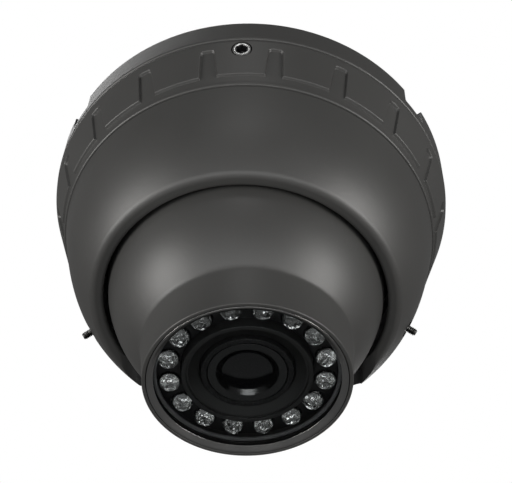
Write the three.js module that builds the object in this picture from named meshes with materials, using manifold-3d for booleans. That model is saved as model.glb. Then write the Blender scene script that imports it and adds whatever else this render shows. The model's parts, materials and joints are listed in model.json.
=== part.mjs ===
// Ceiling camera with a ball turret. A flat base hangs on the ceiling, a grip ring screws over its
// spigot and clamps a hollow shell, and the ball with the camera in it tilts on a bracket that pans
// inside the shell. Its round barrel looks out through the shell's mouth.
//
// Millimetres, +Z up. The origin is the middle of the base's top face, which lies on the ceiling,
// so the whole camera is below it, and -Y is the side with the cover lock screw.

import * as THREE from 'three';
import { mergeVertices } from 'three/addons/utils/BufferGeometryUtils.js';
import Module from 'manifold-3d';

// ---- Driving dimensions -------------------------------------------------------------------

const GAP = 0.3; // between pieces that touch
const MARGIN = 1; // how far a cutter runs past the face that it opens

// Facets round a full turn.
const ROUND = 48;
const INNER = 36;
const FINE = 24;
const SMALL = 12;

// Base plate: a disc with a rim wall outside and a spigot inside it.
const BASE_RADIUS = 46.6;
const BASE_HEIGHT = 7.8;
const PLATE_THICKNESS = 3.2;
const RIM_WALL = 3.2;
const EDGE_BEVEL = 0.6;
const SPIGOT_RADIUS = 41.2;
const SPIGOT_WALL = 2.8;
const SPIGOT_DROP = 6; // below the rim
const NOTCH_AZIMUTH = 56; // degrees either side of the cover lock screw
const NOTCH_WIDTH = 7.3;
const NOTCH_HEIGHT = 5.3;
const NOTCH_REACH = 4;
const FIXING_CIRCLE = 33;
const FIXING_HOLE_RADIUS = 2.2;
const FIXING_COUNT = 3;
const CABLE_HOLE_RADIUS = 8;
const CABLE_HOLE_OFFSET = 18;

// Cable bush in the base plate's hole.
const BUSH_BORE_RADIUS = 4.6;
const BUSH_FLANGE_WIDTH = 1.6;
const BUSH_FLANGE_THICKNESS = 1.3;

// Main board under the plate, on three standoffs.
const BOARD_THICKNESS = 1.6;
const MAIN_BOARD_RADIUS = 26;
const MAIN_BOARD_STANDOFF = 1.2;
const STANDOFF_RADIUS = 2.6;
const MAIN_BOARD_SCREW_CIRCLE = 21;
const MAIN_BOARD_SCREW_AZIMUTHS = [-70, 0, 70]; // degrees from -Y
const CONNECTOR_SIZE = [10, 6, 2.6];
const CONNECTOR_PLACE = [10, 0];

// Small machine screws.
const SCREW_RADIUS = 0.9;
const SCREW_HEAD_RADIUS = 1.7;
const SCREW_HEAD_HEIGHT = 1.1;
const SCREW_DRIVE_ACROSS = 1.3;
const SCREW_DRIVE_DEPTH = 0.6;
const SCREW_HOLE_CLEARANCE = 0.35;

// Grip ring: a cone with a raised band at the top and blocks that hang from it.
const RING_PARTING = 0.5; // open line between the base and the ring
const RING_TOP_RADIUS = 46.6;
const RING_BOTTOM_RADIUS = 42.6;
const RING_HEIGHT = 13.3;
const RING_BORE_CLEARANCE = 0.4;
const RING_FLANGE_THICKNESS = 3;
const RING_FLANGE_BORE = 39.9;
const GRIP_COUNT = 19;
const GRIP_RELIEF = 0.6;
const GRIP_BAND_HEIGHT = 2.5;
const GRIP_BLOCK_HEIGHT = 7.6;
const GRIP_RIDGE_HEIGHT = 0.7;
const GRIP_NOTCH_TOP_WIDTH = 3;
const GRIP_NOTCH_BOTTOM_WIDTH = 3.9;

// Cover lock screw, a socket set screw square to the ring's cone.
const LOCK_SCREW_RADIUS = 2.1;
const LOCK_SCREW_DROP = 2.85; // below the ring's top edge, at the cone
const LOCK_SCREW_LENGTH = 3.4;
const LOCK_SCREW_SOCKET = 2.4;
const LOCK_SCREW_SOCKET_DEPTH = 1.6;
const LOCK_SCREW_BEVEL = 0.3;

// Seal between the base's spigot and the shell.
const SEAL_SECTION_RADIUS = 0.9;

// Shell: a plain wall that closes in to a rolled mouth.
const SHELL_TOP_RADIUS = 42.2;
const SHELL_LOW = 43.6; // below the ceiling
const MOUTH_RADIUS = 30.9;
const MOUTH_HEIGHT = 42.9;
const MOUTH_CREST_RADIUS = 33;
const MOUTH_WALL = 2.2;
const SHELL_STEPS = 7;
const SHELL_BORE_RADIUS = 37.4;
const SHELL_LEDGE_HEIGHT = 31;
const SHELL_LEDGE_RADIUS = 35.6;
const SHELL_FLANGE_THICKNESS = 2.6;
const RETAINER_GROOVE = 1;

// Slot in the shell's mouth behind the ball, which makes room for the barrel.
const SLOT_HALF_WIDTH = 25.5;
const SLOT_TOP = 33.5; // below the ceiling
const SLOT_CORNER = 5;
const SLOT_FLARE = 4; // radius where the slot meets the mouth
const SLOT_STEPS = 4;

// Two lock screws in the shell's wall.
const SHELL_SCREW_AZIMUTH = 109; // degrees either side of the cover lock screw
const SHELL_SCREW_HEIGHT = 36.5; // below the ceiling, at the wall
const SHELL_SCREW_LEAN = 27; // degrees that the outer end points down
const SHELL_SCREW_RADIUS = 0.9;
const SHELL_SCREW_PROUD = 2; // past the wall
const SHELL_SCREW_REACH = 3.6; // inwards from the wall
const SHELL_SCREW_SOCKET = 0.9;
const SHELL_SCREW_SOCKET_DEPTH = 0.9;
const SPOT_FACE_RADIUS = 2.3;
const SPOT_FACE_DEPTH = 0.9;

// Pan bracket: a ring that turns on the shell's ledge, with two arms for the tilt screws.
const PAN_RING_OUTER = 37;
const PAN_RING_INNER = 33.4;
const PAN_RING_HEIGHT = 4.2;
const RETAINER_THICKNESS = 1;
const RETAINER_INNER = 34.6;
const RETAINER_SPLIT = 8; // millimetres left out of the retaining ring
const ARM_INSIDE = 31.1;
const ARM_THICKNESS = 1.7;
const ARM_WIDTH = 8;
const ARM_END_RADIUS = 2.6;
const TILT_SCREW_RADIUS = 1;
const TILT_SCREW_HEAD_RADIUS = 1.6;
const TILT_SCREW_HEAD_HEIGHT = 0.8;
const TILT_SCREW_LENGTH = 4.6;

// Ball, with the barrel that runs out of it.
const BALL_RADIUS = 30.6;
const BALL_DEPTH = 36.3; // centre, below the ceiling
const BALL_WALL = 2.4;
const BALL_TOP_LATITUDE = 32; // degrees
const BALL_STEPS = 9;
const BARREL_ROOT_RADIUS = 22.3;
const BARREL_FRONT_RADIUS = 21.6;
const BARREL_LENGTH = 30.7; // from the ball's centre to the front
const BARREL_BORE = 19.8;
const BALL_LEDGE_DEPTH = 6; // board seat, in front of the ball's centre
const BALL_LEDGE_RADIUS = 22.4;
const REAR_COVER_RISE = 8;
const REAR_COVER_HOLE = 3;
const REAR_COVER_STEPS = 4;
const AIM_PAN = -32.8; // degrees, about the camera's axis
const AIM_TILT = 4.2; // degrees from straight down

// Front of the barrel: the barrel's thin edge, a bezel ring inside it, and the window behind that.
const BARREL_EDGE = 0.8;
const BEZEL_INNER_RADIUS = 19.3;
const BEZEL_THICKNESS = 0.9;
const BEZEL_BEVEL = 0.3;
const WINDOW_THICKNESS = 0.8;
const GASKET_WIDTH = 1.7;
const GASKET_THICKNESS = 0.6;

// Lamp ring.
const LAMP_COUNT = 16;
const LAMP_CIRCLE = 16.5;
const LAMP_RADIUS = 2.3;
const LAMP_LENGTH = 7.4;
const LAMP_CLOCKING = 12.3; // degrees that the ring is turned about the barrel
const LAMP_PLATE_DEPTH = 4.6; // behind the barrel's front
const LAMP_PLATE_THICKNESS = 1.6;
const LAMP_CLEARANCE = 0.2;

// Shroud between the lamps and the lens.
const SHROUD_RADIUS = 13.6;
const SHROUD_WALL = 1;
const SHROUD_STEP = 0.5; // from the front edge down to the cone
const SHROUD_CONE_DEPTH = 1.1;
const SHROUD_LENGTH = 9.4;
const SHROUD_THROAT_CLEARANCE = 0.4;

// Lens, its holder and the boards behind it.
const LENS_FACE_DEPTH = 2.9; // behind the barrel's front
const LENS_HEAD_RADIUS = 9.6;
const LENS_HEAD_LENGTH = 7.5;
const LENS_SHANK_RADIUS = 6;
const LENS_SHANK_LENGTH = 8.6;
const LENS_BORE_RADIUS = 4.4;
const LENS_RIM = 1.2;
const LENS_INNER_RIM = 0.3;
const LENS_GROOVE_DEPTH = 0.8;
const FRONT_GLASS_RADIUS = 5.2;
const FRONT_GLASS_THICKNESS = 2.4;
const FRONT_GLASS_BULGE = 0.7;
const GLASS_STEPS = 4;
const REAR_GLASS_RADIUS = 4.1;
const REAR_GLASS_THICKNESS = 1.8;
const LOCK_NUT_LENGTH = 1.9;
const HOLDER_WALL = 2.3;
const HOLDER_FLANGE_RADIUS = 13;
const HOLDER_FLANGE_THICKNESS = 2;
const HOLDER_SCREW_CIRCLE = 10.9;
const SENSOR_BOARD_CLEARANCE = 0.4;
const SENSOR_SCREW_CIRCLE = 24.4;
const SENSOR_SCREW_LENGTH = 4.6;
const IMAGE_SENSOR_SIZE = [8, 7, 1.2];
const FILTER_THICKNESS = 0.8;

// ---- Finishes -----------------------------------------------------------------------------

const FINISHES = {
  body_paint: { color: 0x4a4a48, roughness: 0.5, metalness: 0.4 },
  bright_steel: { color: 0xc9c9c7, roughness: 0.2, metalness: 1 },
  bracket_steel: { color: 0x8c8d8f, roughness: 0.4, metalness: 1 },
  black_plastic: { color: 0x0c0c0d, roughness: 0.45, metalness: 0 },
  black_rubber: { color: 0x141414, roughness: 0.85, metalness: 0 },
  grey_rubber: { color: 0x8f9092, roughness: 0.6, metalness: 0 },
  window_glass: { color: 0xdfe6e6, roughness: 0.02, metalness: 0 },
  lens_glass: { color: 0x101622, roughness: 0.02, metalness: 0 },
  lamp_resin: { color: 0xd9dcdf, roughness: 0.08, metalness: 0 },
  lens_metal: { color: 0x161617, roughness: 0.35, metalness: 0.6 },
  board_green: { color: 0x17402a, roughness: 0.5, metalness: 0 },
  chip_black: { color: 0x18181a, roughness: 0.4, metalness: 0 },
  connector_white: { color: 0xe6e4da, roughness: 0.5, metalness: 0 },
};

// ---- Solids -------------------------------------------------------------------------------

const wasm = await Module();
wasm.setup();

const { degToRad } = THREE.MathUtils;
const MERGE_TOLERANCE = 1e-4;

/** A closed three.js geometry as a solid whose faces point out. */
function solid(geometry) {
  const bare = new THREE.BufferGeometry();
  bare.setAttribute('position', geometry.getAttribute('position'));
  bare.setIndex(geometry.getIndex());
  const merged = mergeVertices(bare, MERGE_TOLERANCE);
  const places = merged.getAttribute('position').array;
  const corners = merged.getIndex().array;
  const point = (i) => new THREE.Vector3().fromArray(places, 3 * i);
  const triangles = [];
  let volume = 0;
  for (let i = 0; i < corners.length; i += 3) {
    const [a, b, c] = corners.slice(i, i + 3);
    if (a === b || b === c || c === a) continue;
    triangles.push([a, b, c]);
    volume += point(a).dot(point(b).cross(point(c)));
  }
  const outward = volume > 0 ? triangles : triangles.map(([a, b, c]) => [a, c, b]);
  const mesh = { numProp: 3, vertProperties: places, triVerts: new Uint32Array(outward.flat()) };
  return new wasm.Manifold(new wasm.Mesh(mesh));
}

/** A solid turned about Z from its outline of [radius, height] points, which the last closes. */
function turned(outline, facets = ROUND) {
  const closed = outline[0][0] === 0 ? outline : [...outline, outline[0]];
  const points = closed.map(([radius, height]) => new THREE.Vector2(radius, height));
  return solid(new THREE.LatheGeometry(points, facets).rotateX(Math.PI / 2));
}

/** A ring with a square section. */
function hoop(inner, outer, low, high, facets = ROUND) {
  return turned([[inner, low], [outer, low], [outer, high], [inner, high]], facets);
}

/** A round disc or pin along Z, at x, y. */
function disc(radius, low, high, facets = SMALL, x = 0, y = 0) {
  const outline = [[0, low], [radius, low], [radius, high], [0, high]];
  return turned(outline, facets).translate([x, y, 0]);
}

/** A block by its middle and its full sizes. */
function block([x, y, z], [width, depth, height]) {
  return solid(new THREE.BoxGeometry(width, depth, height)).translate([x, y, z]);
}

/** A hexagonal prism along Z, by its width across the flats. */
function hexagon(across, low, high) {
  return disc(across / 2 / Math.cos(Math.PI / 6), low, high, 6);
}

/** All the solids joined into one. */
function joined(solids) {
  return solids.reduce((whole, next) => whole.add(next));
}

/** A solid with each of the cutters taken out of it. */
function cut(whole, cutters) {
  return cutters.reduce((rest, cutter) => rest.subtract(cutter), whole);
}

/** The x and y of a point at a radius and an azimuth in degrees from -Y towards +X. */
function around(radius, azimuth) {
  const turn = degToRad(azimuth);
  return [radius * Math.sin(turn), -radius * Math.cos(turn)];
}

/** Evenly spaced azimuths in degrees, the first at start. */
function spread(count, start = 0) {
  return Array.from({ length: count }, (_, i) => start + (i * 360) / count);
}

/** The points of a circular arc in an outline, from one angle in degrees to another. */
function arc(radius, from, to, steps, height = 0) {
  return Array.from({ length: steps + 1 }, (_, i) => {
    const angle = degToRad(from + ((to - from) * i) / steps);
    return [radius * Math.cos(angle), height + radius * Math.sin(angle)];
  });
}

/** A screw along Z with its shank up, its head's face at height 0 and a hexagonal drive. */
function screw(headRadius, headHeight, shankRadius, length, drive, driveDepth) {
  const body = [
    [0, 0],
    [headRadius, 0],
    [headRadius, headHeight],
    [shankRadius, headHeight],
    [shankRadius, headHeight + length],
    [0, headHeight + length],
  ];
  return cut(turned(body, SMALL), [hexagon(drive, -MARGIN, driveDepth)]);
}

// ---- Assembly -----------------------------------------------------------------------------

const camera = new THREE.Group();
const finishes = Object.fromEntries(
  Object.entries(FINISHES).map(([name, look]) => [name, new THREE.MeshStandardMaterial({ name, ...look })]),
);

/** Adds a solid to a group as a named mesh, and gives the mesh back to be placed. */
function add(name, piece, finish, group = camera) {
  const { vertProperties, triVerts } = piece.getMesh();
  const geometry = new THREE.BufferGeometry();
  geometry.setAttribute('position', new THREE.BufferAttribute(vertProperties, 3));
  geometry.setIndex(new THREE.BufferAttribute(triVerts, 1));
  geometry.computeVertexNormals();
  const mesh = new THREE.Mesh(geometry, finishes[finish]);
  mesh.name = name;
  group.add(mesh);
  return mesh;
}

// ---- Base ---------------------------------------------------------------------------------

const spigotBore = SPIGOT_RADIUS - SPIGOT_WALL;
const spigotEnd = -BASE_HEIGHT - SPIGOT_DROP;
const boardTop = -PLATE_THICKNESS - MAIN_BOARD_STANDOFF - GAP;
const boardUnder = boardTop - BOARD_THICKNESS;
const screwHole = SCREW_RADIUS + SCREW_HOLE_CLEARANCE;
const boardScrews = MAIN_BOARD_SCREW_AZIMUTHS.map((azimuth) => around(MAIN_BOARD_SCREW_CIRCLE, azimuth));

function basePlate() {
  const body = turned([
    [0, 0],
    [BASE_RADIUS, 0],
    [BASE_RADIUS, EDGE_BEVEL - BASE_HEIGHT],
    [BASE_RADIUS - EDGE_BEVEL, -BASE_HEIGHT],
    [BASE_RADIUS - RIM_WALL, -BASE_HEIGHT],
    [BASE_RADIUS - RIM_WALL, -PLATE_THICKNESS],
    [SPIGOT_RADIUS, -PLATE_THICKNESS],
    [SPIGOT_RADIUS, spigotEnd],
    [spigotBore, spigotEnd],
    [spigotBore, -PLATE_THICKNESS],
    [0, -PLATE_THICKNESS],
  ]);
  const standoffs = boardScrews.map(([x, y]) => disc(STANDOFF_RADIUS, boardTop + GAP, -1, SMALL, x, y));
  const notchMiddle = BASE_RADIUS - NOTCH_REACH / 2 + MARGIN / 2;
  const notches = [-NOTCH_AZIMUTH, NOTCH_AZIMUTH].map((azimuth) =>
    block(
      [0, -notchMiddle, (MARGIN - NOTCH_HEIGHT) / 2],
      [NOTCH_WIDTH, NOTCH_REACH + MARGIN, NOTCH_HEIGHT + MARGIN],
    ).rotate([0, 0, azimuth]),
  );
  const fixings = spread(FIXING_COUNT, 60).map((azimuth) => {
    const [x, y] = around(FIXING_CIRCLE, azimuth);
    return disc(FIXING_HOLE_RADIUS, -PLATE_THICKNESS - MARGIN, MARGIN, SMALL, x, y);
  });
  const screwHoles = boardScrews.map(([x, y]) => disc(screwHole, boardTop, -1, SMALL, x, y));
  const cableHole = disc(CABLE_HOLE_RADIUS, -PLATE_THICKNESS - MARGIN, MARGIN, FINE, 0, CABLE_HOLE_OFFSET);
  return cut(joined([body, ...standoffs]), [...notches, ...fixings, ...screwHoles, cableHole]);
}

function cableBush() {
  const flangeTop = -PLATE_THICKNESS - GAP;
  return turned([
    [BUSH_BORE_RADIUS, -GAP],
    [CABLE_HOLE_RADIUS - GAP, -GAP],
    [CABLE_HOLE_RADIUS - GAP, flangeTop],
    [CABLE_HOLE_RADIUS + BUSH_FLANGE_WIDTH, flangeTop],
    [CABLE_HOLE_RADIUS + BUSH_FLANGE_WIDTH, flangeTop - BUSH_FLANGE_THICKNESS],
    [BUSH_BORE_RADIUS, flangeTop - BUSH_FLANGE_THICKNESS],
  ], FINE).translate([0, CABLE_HOLE_OFFSET, 0]);
}

/** The main board: a disc cut straight across beside the cable bush. */
function mainBoard() {
  const edge = CABLE_HOLE_OFFSET - CABLE_HOLE_RADIUS - BUSH_FLANGE_WIDTH - 1;
  const size = 2 * MAIN_BOARD_RADIUS;
  const behind = block([0, edge + size / 2, boardTop], [size, size, 4 * BOARD_THICKNESS]);
  const holes = boardScrews.map(([x, y]) => disc(screwHole, boardUnder - MARGIN, boardTop + MARGIN, SMALL, x, y));
  return cut(disc(MAIN_BOARD_RADIUS, boardUnder, boardTop, INNER), [behind, ...holes]);
}

add('base_plate', basePlate(), 'body_paint');
add('cable_bush', cableBush(), 'black_rubber');
add('main_board', mainBoard(), 'board_green');

const [connectorWidth, connectorDepth, connectorHeight] = CONNECTOR_SIZE;
const connectorMiddle = [...CONNECTOR_PLACE, boardUnder - GAP - connectorHeight / 2];
add('board_connector', block(connectorMiddle, [connectorWidth, connectorDepth, connectorHeight]), 'connector_white');

const headUnder = GAP + SCREW_HEAD_HEIGHT;
const boardScrewLength = GAP + BOARD_THICKNESS + MAIN_BOARD_STANDOFF + GAP + 1;
boardScrews.forEach(([x, y], i) => {
  const piece = screw(
    SCREW_HEAD_RADIUS, SCREW_HEAD_HEIGHT, SCREW_RADIUS, boardScrewLength, SCREW_DRIVE_ACROSS, SCREW_DRIVE_DEPTH,
  );
  add(`main_board_screw_${i + 1}`, piece, 'bright_steel').position.set(x, y, boardUnder - headUnder);
});

// ---- Grip ring ----------------------------------------------------------------------------

const ringTop = -BASE_HEIGHT - RING_PARTING;
const ringBottom = ringTop - RING_HEIGHT;
const ringBore = SPIGOT_RADIUS + RING_BORE_CLEARANCE;
const ringSlope = (RING_TOP_RADIUS - RING_BOTTOM_RADIUS) / RING_HEIGHT;
const ringTilt = Math.atan(ringSlope);
const coneRadius = (height) => RING_TOP_RADIUS - (ringTop - height) * ringSlope;
const flangeTop = ringBottom + RING_FLANGE_THICKNESS;
const blockTop = ringTop - GRIP_BAND_HEIGHT;
const blockBottom = blockTop - GRIP_BLOCK_HEIGHT;
const ridgeTop = ringBottom + GRIP_RIDGE_HEIGHT;
const lockScrewHeight = ringTop - LOCK_SCREW_DROP;

/** A notch's wedge outline, cut straight in from the front. */
function gripNotch() {
  const outline = new THREE.Shape([
    new THREE.Vector2(-GRIP_NOTCH_TOP_WIDTH / 2, blockTop),
    new THREE.Vector2(-GRIP_NOTCH_BOTTOM_WIDTH / 2, blockBottom),
    new THREE.Vector2(GRIP_NOTCH_BOTTOM_WIDTH / 2, blockBottom),
    new THREE.Vector2(GRIP_NOTCH_TOP_WIDTH / 2, blockTop),
  ]);
  const depth = RING_TOP_RADIUS + MARGIN;
  const prism = new THREE.ExtrudeGeometry(outline, { depth, bevelEnabled: false });
  return solid(prism.rotateX(Math.PI / 2));
}

function gripRing() {
  const body = turned([
    [ringBore, ringTop],
    [RING_TOP_RADIUS - EDGE_BEVEL, ringTop],
    [coneRadius(ringTop - EDGE_BEVEL), ringTop - EDGE_BEVEL],
    [RING_BOTTOM_RADIUS, ringBottom],
    [RING_FLANGE_BORE, ringBottom],
    [RING_FLANGE_BORE, flangeTop],
    [ringBore, flangeTop],
  ]);
  const skin = turned([
    [coneRadius(blockTop) - GRIP_RELIEF, blockTop],
    [coneRadius(blockTop) + MARGIN, blockTop],
    [coneRadius(ridgeTop) + MARGIN, ridgeTop],
    [coneRadius(ridgeTop) - GRIP_RELIEF, ridgeTop],
  ]);
  const lowBand = hoop(RING_FLANGE_BORE, RING_TOP_RADIUS + MARGIN, ridgeTop - MARGIN, blockBottom);
  const notch = gripNotch();
  const pitch = 360 / GRIP_COUNT;
  const notches = spread(GRIP_COUNT, pitch / 2).map((azimuth) => notch.rotate([0, 0, azimuth]));
  const relief = skin.intersect(joined([lowBand, ...notches]));
  const hole = disc(LOCK_SCREW_RADIUS + GAP, -LOCK_SCREW_LENGTH - 3, LOCK_SCREW_LENGTH, SMALL);
  return cut(body, [relief, placedLockScrew(hole)]);
}

/** Turns a solid whose outer end faces +Z so that it lies in the cone's wall, square to it. */
function placedLockScrew(piece) {
  const lean = 90 + THREE.MathUtils.radToDeg(ringTilt);
  return piece.rotate([lean, 0, 0]).translate([0, -coneRadius(lockScrewHeight), lockScrewHeight]);
}

function lockScrew() {
  const body = turned([
    [0, -LOCK_SCREW_LENGTH],
    [LOCK_SCREW_RADIUS, -LOCK_SCREW_LENGTH],
    [LOCK_SCREW_RADIUS, -LOCK_SCREW_BEVEL],
    [LOCK_SCREW_RADIUS - LOCK_SCREW_BEVEL, 0],
    [0, 0],
  ], FINE);
  return placedLockScrew(cut(body, [hexagon(LOCK_SCREW_SOCKET, -LOCK_SCREW_SOCKET_DEPTH, MARGIN)]));
}

add('grip_ring', gripRing(), 'body_paint');
add('cover_lock_screw', lockScrew(), 'bright_steel');

// ---- Shell --------------------------------------------------------------------------------

const shellTop = ringBottom - GAP;
const neckRadius = RING_FLANGE_BORE - GAP;
const shellFlangeLow = flangeTop + GAP;
const shellFlangeTop = shellFlangeLow + SHELL_FLANGE_THICKNESS;
const shellFlangeRadius = ringBore - RING_BORE_CLEARANCE;
const grooveTop = -SHELL_LEDGE_HEIGHT + GAP + PAN_RING_HEIGHT + GAP + RETAINER_THICKNESS + GAP;
const grooveLow = grooveTop - RETAINER_THICKNESS - 2 * GAP;

/** The shell's outer line, one smooth curve from under the grip ring to the mouth. */
function shellLine() {
  const curve = new THREE.CubicBezierCurve(
    new THREE.Vector2(SHELL_TOP_RADIUS, shellTop),
    new THREE.Vector2(SHELL_TOP_RADIUS - 1, 0.62 * shellTop - 0.38 * SHELL_LOW),
    new THREE.Vector2(MOUTH_CREST_RADIUS + 6.2, 0.32 * shellTop - 0.68 * SHELL_LOW),
    new THREE.Vector2(MOUTH_CREST_RADIUS + 0.9, -SHELL_LOW + 0.45),
  );
  return curve.getPoints(SHELL_STEPS).map(({ x, y }) => [x, y]);
}

/** The shell's outer radius at a height on its line. */
function shellRadius(height) {
  const line = shellLine();
  const next = line.findIndex(([, low]) => low <= height);
  const [[r0, z0], [r1, z1]] = [line[next - 1], line[next]];
  return r0 + ((r1 - r0) * (height - z0)) / (z1 - z0);
}

function domeShell() {
  const inside = -MOUTH_HEIGHT + MOUTH_WALL;
  const body = turned([
    [neckRadius, shellTop],
    ...shellLine(),
    [MOUTH_CREST_RADIUS, -SHELL_LOW],
    [MOUTH_RADIUS + 0.5, -SHELL_LOW + 0.15],
    [MOUTH_RADIUS, -MOUTH_HEIGHT],
    [MOUTH_RADIUS + 0.3, inside - 0.9],
    [MOUTH_RADIUS + 1.6, inside],
    [SHELL_LEDGE_RADIUS - 0.8, inside + 3],
    [SHELL_LEDGE_RADIUS, -SHELL_LEDGE_HEIGHT - 4],
    [SHELL_LEDGE_RADIUS, -SHELL_LEDGE_HEIGHT],
    [SHELL_BORE_RADIUS, -SHELL_LEDGE_HEIGHT],
    [SHELL_BORE_RADIUS, grooveLow],
    [SHELL_BORE_RADIUS + RETAINER_GROOVE, grooveLow],
    [SHELL_BORE_RADIUS + RETAINER_GROOVE, grooveTop],
    [SHELL_BORE_RADIUS, grooveTop],
    [SHELL_BORE_RADIUS, shellFlangeTop],
    [shellFlangeRadius, shellFlangeTop],
    [shellFlangeRadius, shellFlangeLow],
    [neckRadius, shellFlangeLow],
  ]);
  const hole = disc(SHELL_SCREW_RADIUS + GAP, -SHELL_SCREW_REACH - MARGIN, SHELL_SCREW_PROUD + MARGIN, SMALL);
  const spotFace = disc(SPOT_FACE_RADIUS, -SPOT_FACE_DEPTH, SHELL_SCREW_PROUD + MARGIN, SMALL);
  const opening = joined([hole, spotFace]);
  return cut(body, [shellSlot(), ...[-1, 1].map((side) => placedShellScrew(opening, side))]);
}

/** The slot's outline, round in its upper corners and flared at the mouth, as a prism towards +Y. */
function shellSlot() {
  const steps = Array.from({ length: SLOT_STEPS + 1 }, (_, i) => (i * Math.PI) / 2 / SLOT_STEPS);
  const corner = steps.map((angle) => new THREE.Vector2(
    SLOT_HALF_WIDTH - SLOT_CORNER * (1 - Math.sin(angle)),
    -SLOT_TOP - SLOT_CORNER * (1 - Math.cos(angle)),
  ));
  const flare = steps.map((angle) => new THREE.Vector2(
    SLOT_HALF_WIDTH + SLOT_FLARE * (1 - Math.cos(angle)),
    -SHELL_LOW + SLOT_FLARE * (1 - Math.sin(angle)),
  ));
  const end = new THREE.Vector2(SLOT_HALF_WIDTH + SLOT_FLARE, -SHELL_LOW - MARGIN);
  const half = [...corner, ...flare, end];
  const other = half.map(({ x, y }) => new THREE.Vector2(-x, y)).reverse();
  const settings = { depth: SHELL_TOP_RADIUS + MARGIN, bevelEnabled: false };
  const prism = new THREE.ExtrudeGeometry(new THREE.Shape([...half, ...other]), settings);
  return solid(prism.rotateX(Math.PI / 2)).rotate([0, 0, 180]);
}

/** Turns a solid whose outer end faces +Z so that it points out and down through the shell's wall. */
function placedShellScrew(piece, side) {
  const azimuth = side * SHELL_SCREW_AZIMUTH;
  const [x, y] = around(shellRadius(-SHELL_SCREW_HEIGHT), azimuth);
  return piece.rotate([90 + SHELL_SCREW_LEAN, 0, azimuth]).translate([x, y, -SHELL_SCREW_HEIGHT]);
}

/** A set screw with a hexagonal socket in its outer end. */
function shellScrew(side) {
  const body = disc(SHELL_SCREW_RADIUS, -SHELL_SCREW_REACH, SHELL_SCREW_PROUD, SMALL);
  const socketEnd = SHELL_SCREW_PROUD - SHELL_SCREW_SOCKET_DEPTH;
  return placedShellScrew(cut(body, [hexagon(SHELL_SCREW_SOCKET, socketEnd, SHELL_SCREW_PROUD + MARGIN)]), side);
}

function coverSeal() {
  const middle = (SPIGOT_RADIUS + spigotBore) / 2;
  const height = (spigotEnd + shellFlangeTop) / 2;
  const room = (spigotEnd - shellFlangeTop) / 2 - GAP;
  const section = arc(Math.min(SEAL_SECTION_RADIUS, room), 0, 300, 5);
  return turned(section.map(([out, up]) => [middle + out, height + up]));
}

add('dome_shell', domeShell(), 'body_paint');
add('shell_screw_left', shellScrew(-1), 'bright_steel');
add('shell_screw_right', shellScrew(1), 'bright_steel');
add('cover_seal', coverSeal(), 'black_rubber');

// ---- Pan bracket --------------------------------------------------------------------------

const panGroup = new THREE.Group();
panGroup.rotation.z = degToRad(AIM_PAN);
camera.add(panGroup);

const panRingLow = -SHELL_LEDGE_HEIGHT + GAP;
const panRingTop = panRingLow + PAN_RING_HEIGHT;
const armOutside = ARM_INSIDE + ARM_THICKNESS;

/** A pin along +X at the tilt axis, between two distances from the middle. */
function tiltPin(radius, from, to, side = 1) {
  return disc(radius, from, to, SMALL).rotate([0, 90 * side, 0]).translate([0, 0, -BALL_DEPTH]);
}

function bracketArm(side) {
  const height = panRingTop + BALL_DEPTH;
  const plate = block(
    [side * (ARM_INSIDE + ARM_THICKNESS / 2), 0, panRingTop - height / 2],
    [ARM_THICKNESS, 2 * ARM_END_RADIUS, height],
  );
  const root = block(
    [side * (ARM_INSIDE + PAN_RING_OUTER - 1) / 2, 0, (panRingTop + panRingLow) / 2],
    [PAN_RING_OUTER - 1 - ARM_INSIDE, ARM_WIDTH, PAN_RING_HEIGHT],
  );
  const end = tiltPin(ARM_END_RADIUS, ARM_INSIDE, armOutside, side);
  return cut(joined([plate, root, end]), [tiltPin(TILT_SCREW_RADIUS + GAP, ARM_INSIDE - MARGIN, armOutside + MARGIN, side)]);
}

function panBracket() {
  const ring = hoop(PAN_RING_INNER, PAN_RING_OUTER, panRingLow, panRingTop, INNER);
  return joined([ring, bracketArm(-1), bracketArm(1)]);
}

/** The split ring that keeps the pan bracket on its ledge. */
function panRetainer() {
  const low = panRingTop + GAP;
  const ring = hoop(RETAINER_INNER, SHELL_BORE_RADIUS + RETAINER_GROOVE - GAP, low, low + RETAINER_THICKNESS, INNER);
  const split = block([0, -PAN_RING_OUTER, low], [RETAINER_SPLIT, 2 * RETAINER_SPLIT, 4 * RETAINER_THICKNESS]);
  return cut(ring, [split]);
}

add('pan_bracket', panBracket(), 'bracket_steel', panGroup);
add('pan_retainer', panRetainer(), 'bracket_steel');

// ---- Ball ---------------------------------------------------------------------------------
// Everything from here on is modelled about the ball's centre, with the barrel pointing down.

const ball = new THREE.Group();
ball.position.z = -BALL_DEPTH;
ball.rotation.x = degToRad(AIM_TILT);
panGroup.add(ball);

const front = -BARREL_LENGTH;
const rootDepth = Math.sqrt(BALL_RADIUS ** 2 - BARREL_ROOT_RADIUS ** 2);
const windowFront = front + BEZEL_THICKNESS + GAP;
const windowBack = windowFront + WINDOW_THICKNESS;
const windowSeatRadius = BARREL_FRONT_RADIUS - BARREL_EDGE;
const barrelSlope = (BARREL_ROOT_RADIUS - BARREL_FRONT_RADIUS) / (BARREL_LENGTH - rootDepth);
const barrelRadius = (height) => BARREL_FRONT_RADIUS + (height - front) * barrelSlope;
const ballInside = BALL_RADIUS - BALL_WALL;
const sensorBoardFront = -BALL_LEDGE_DEPTH + GAP;
const sensorBoardBack = sensorBoardFront + BOARD_THICKNESS;

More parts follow.
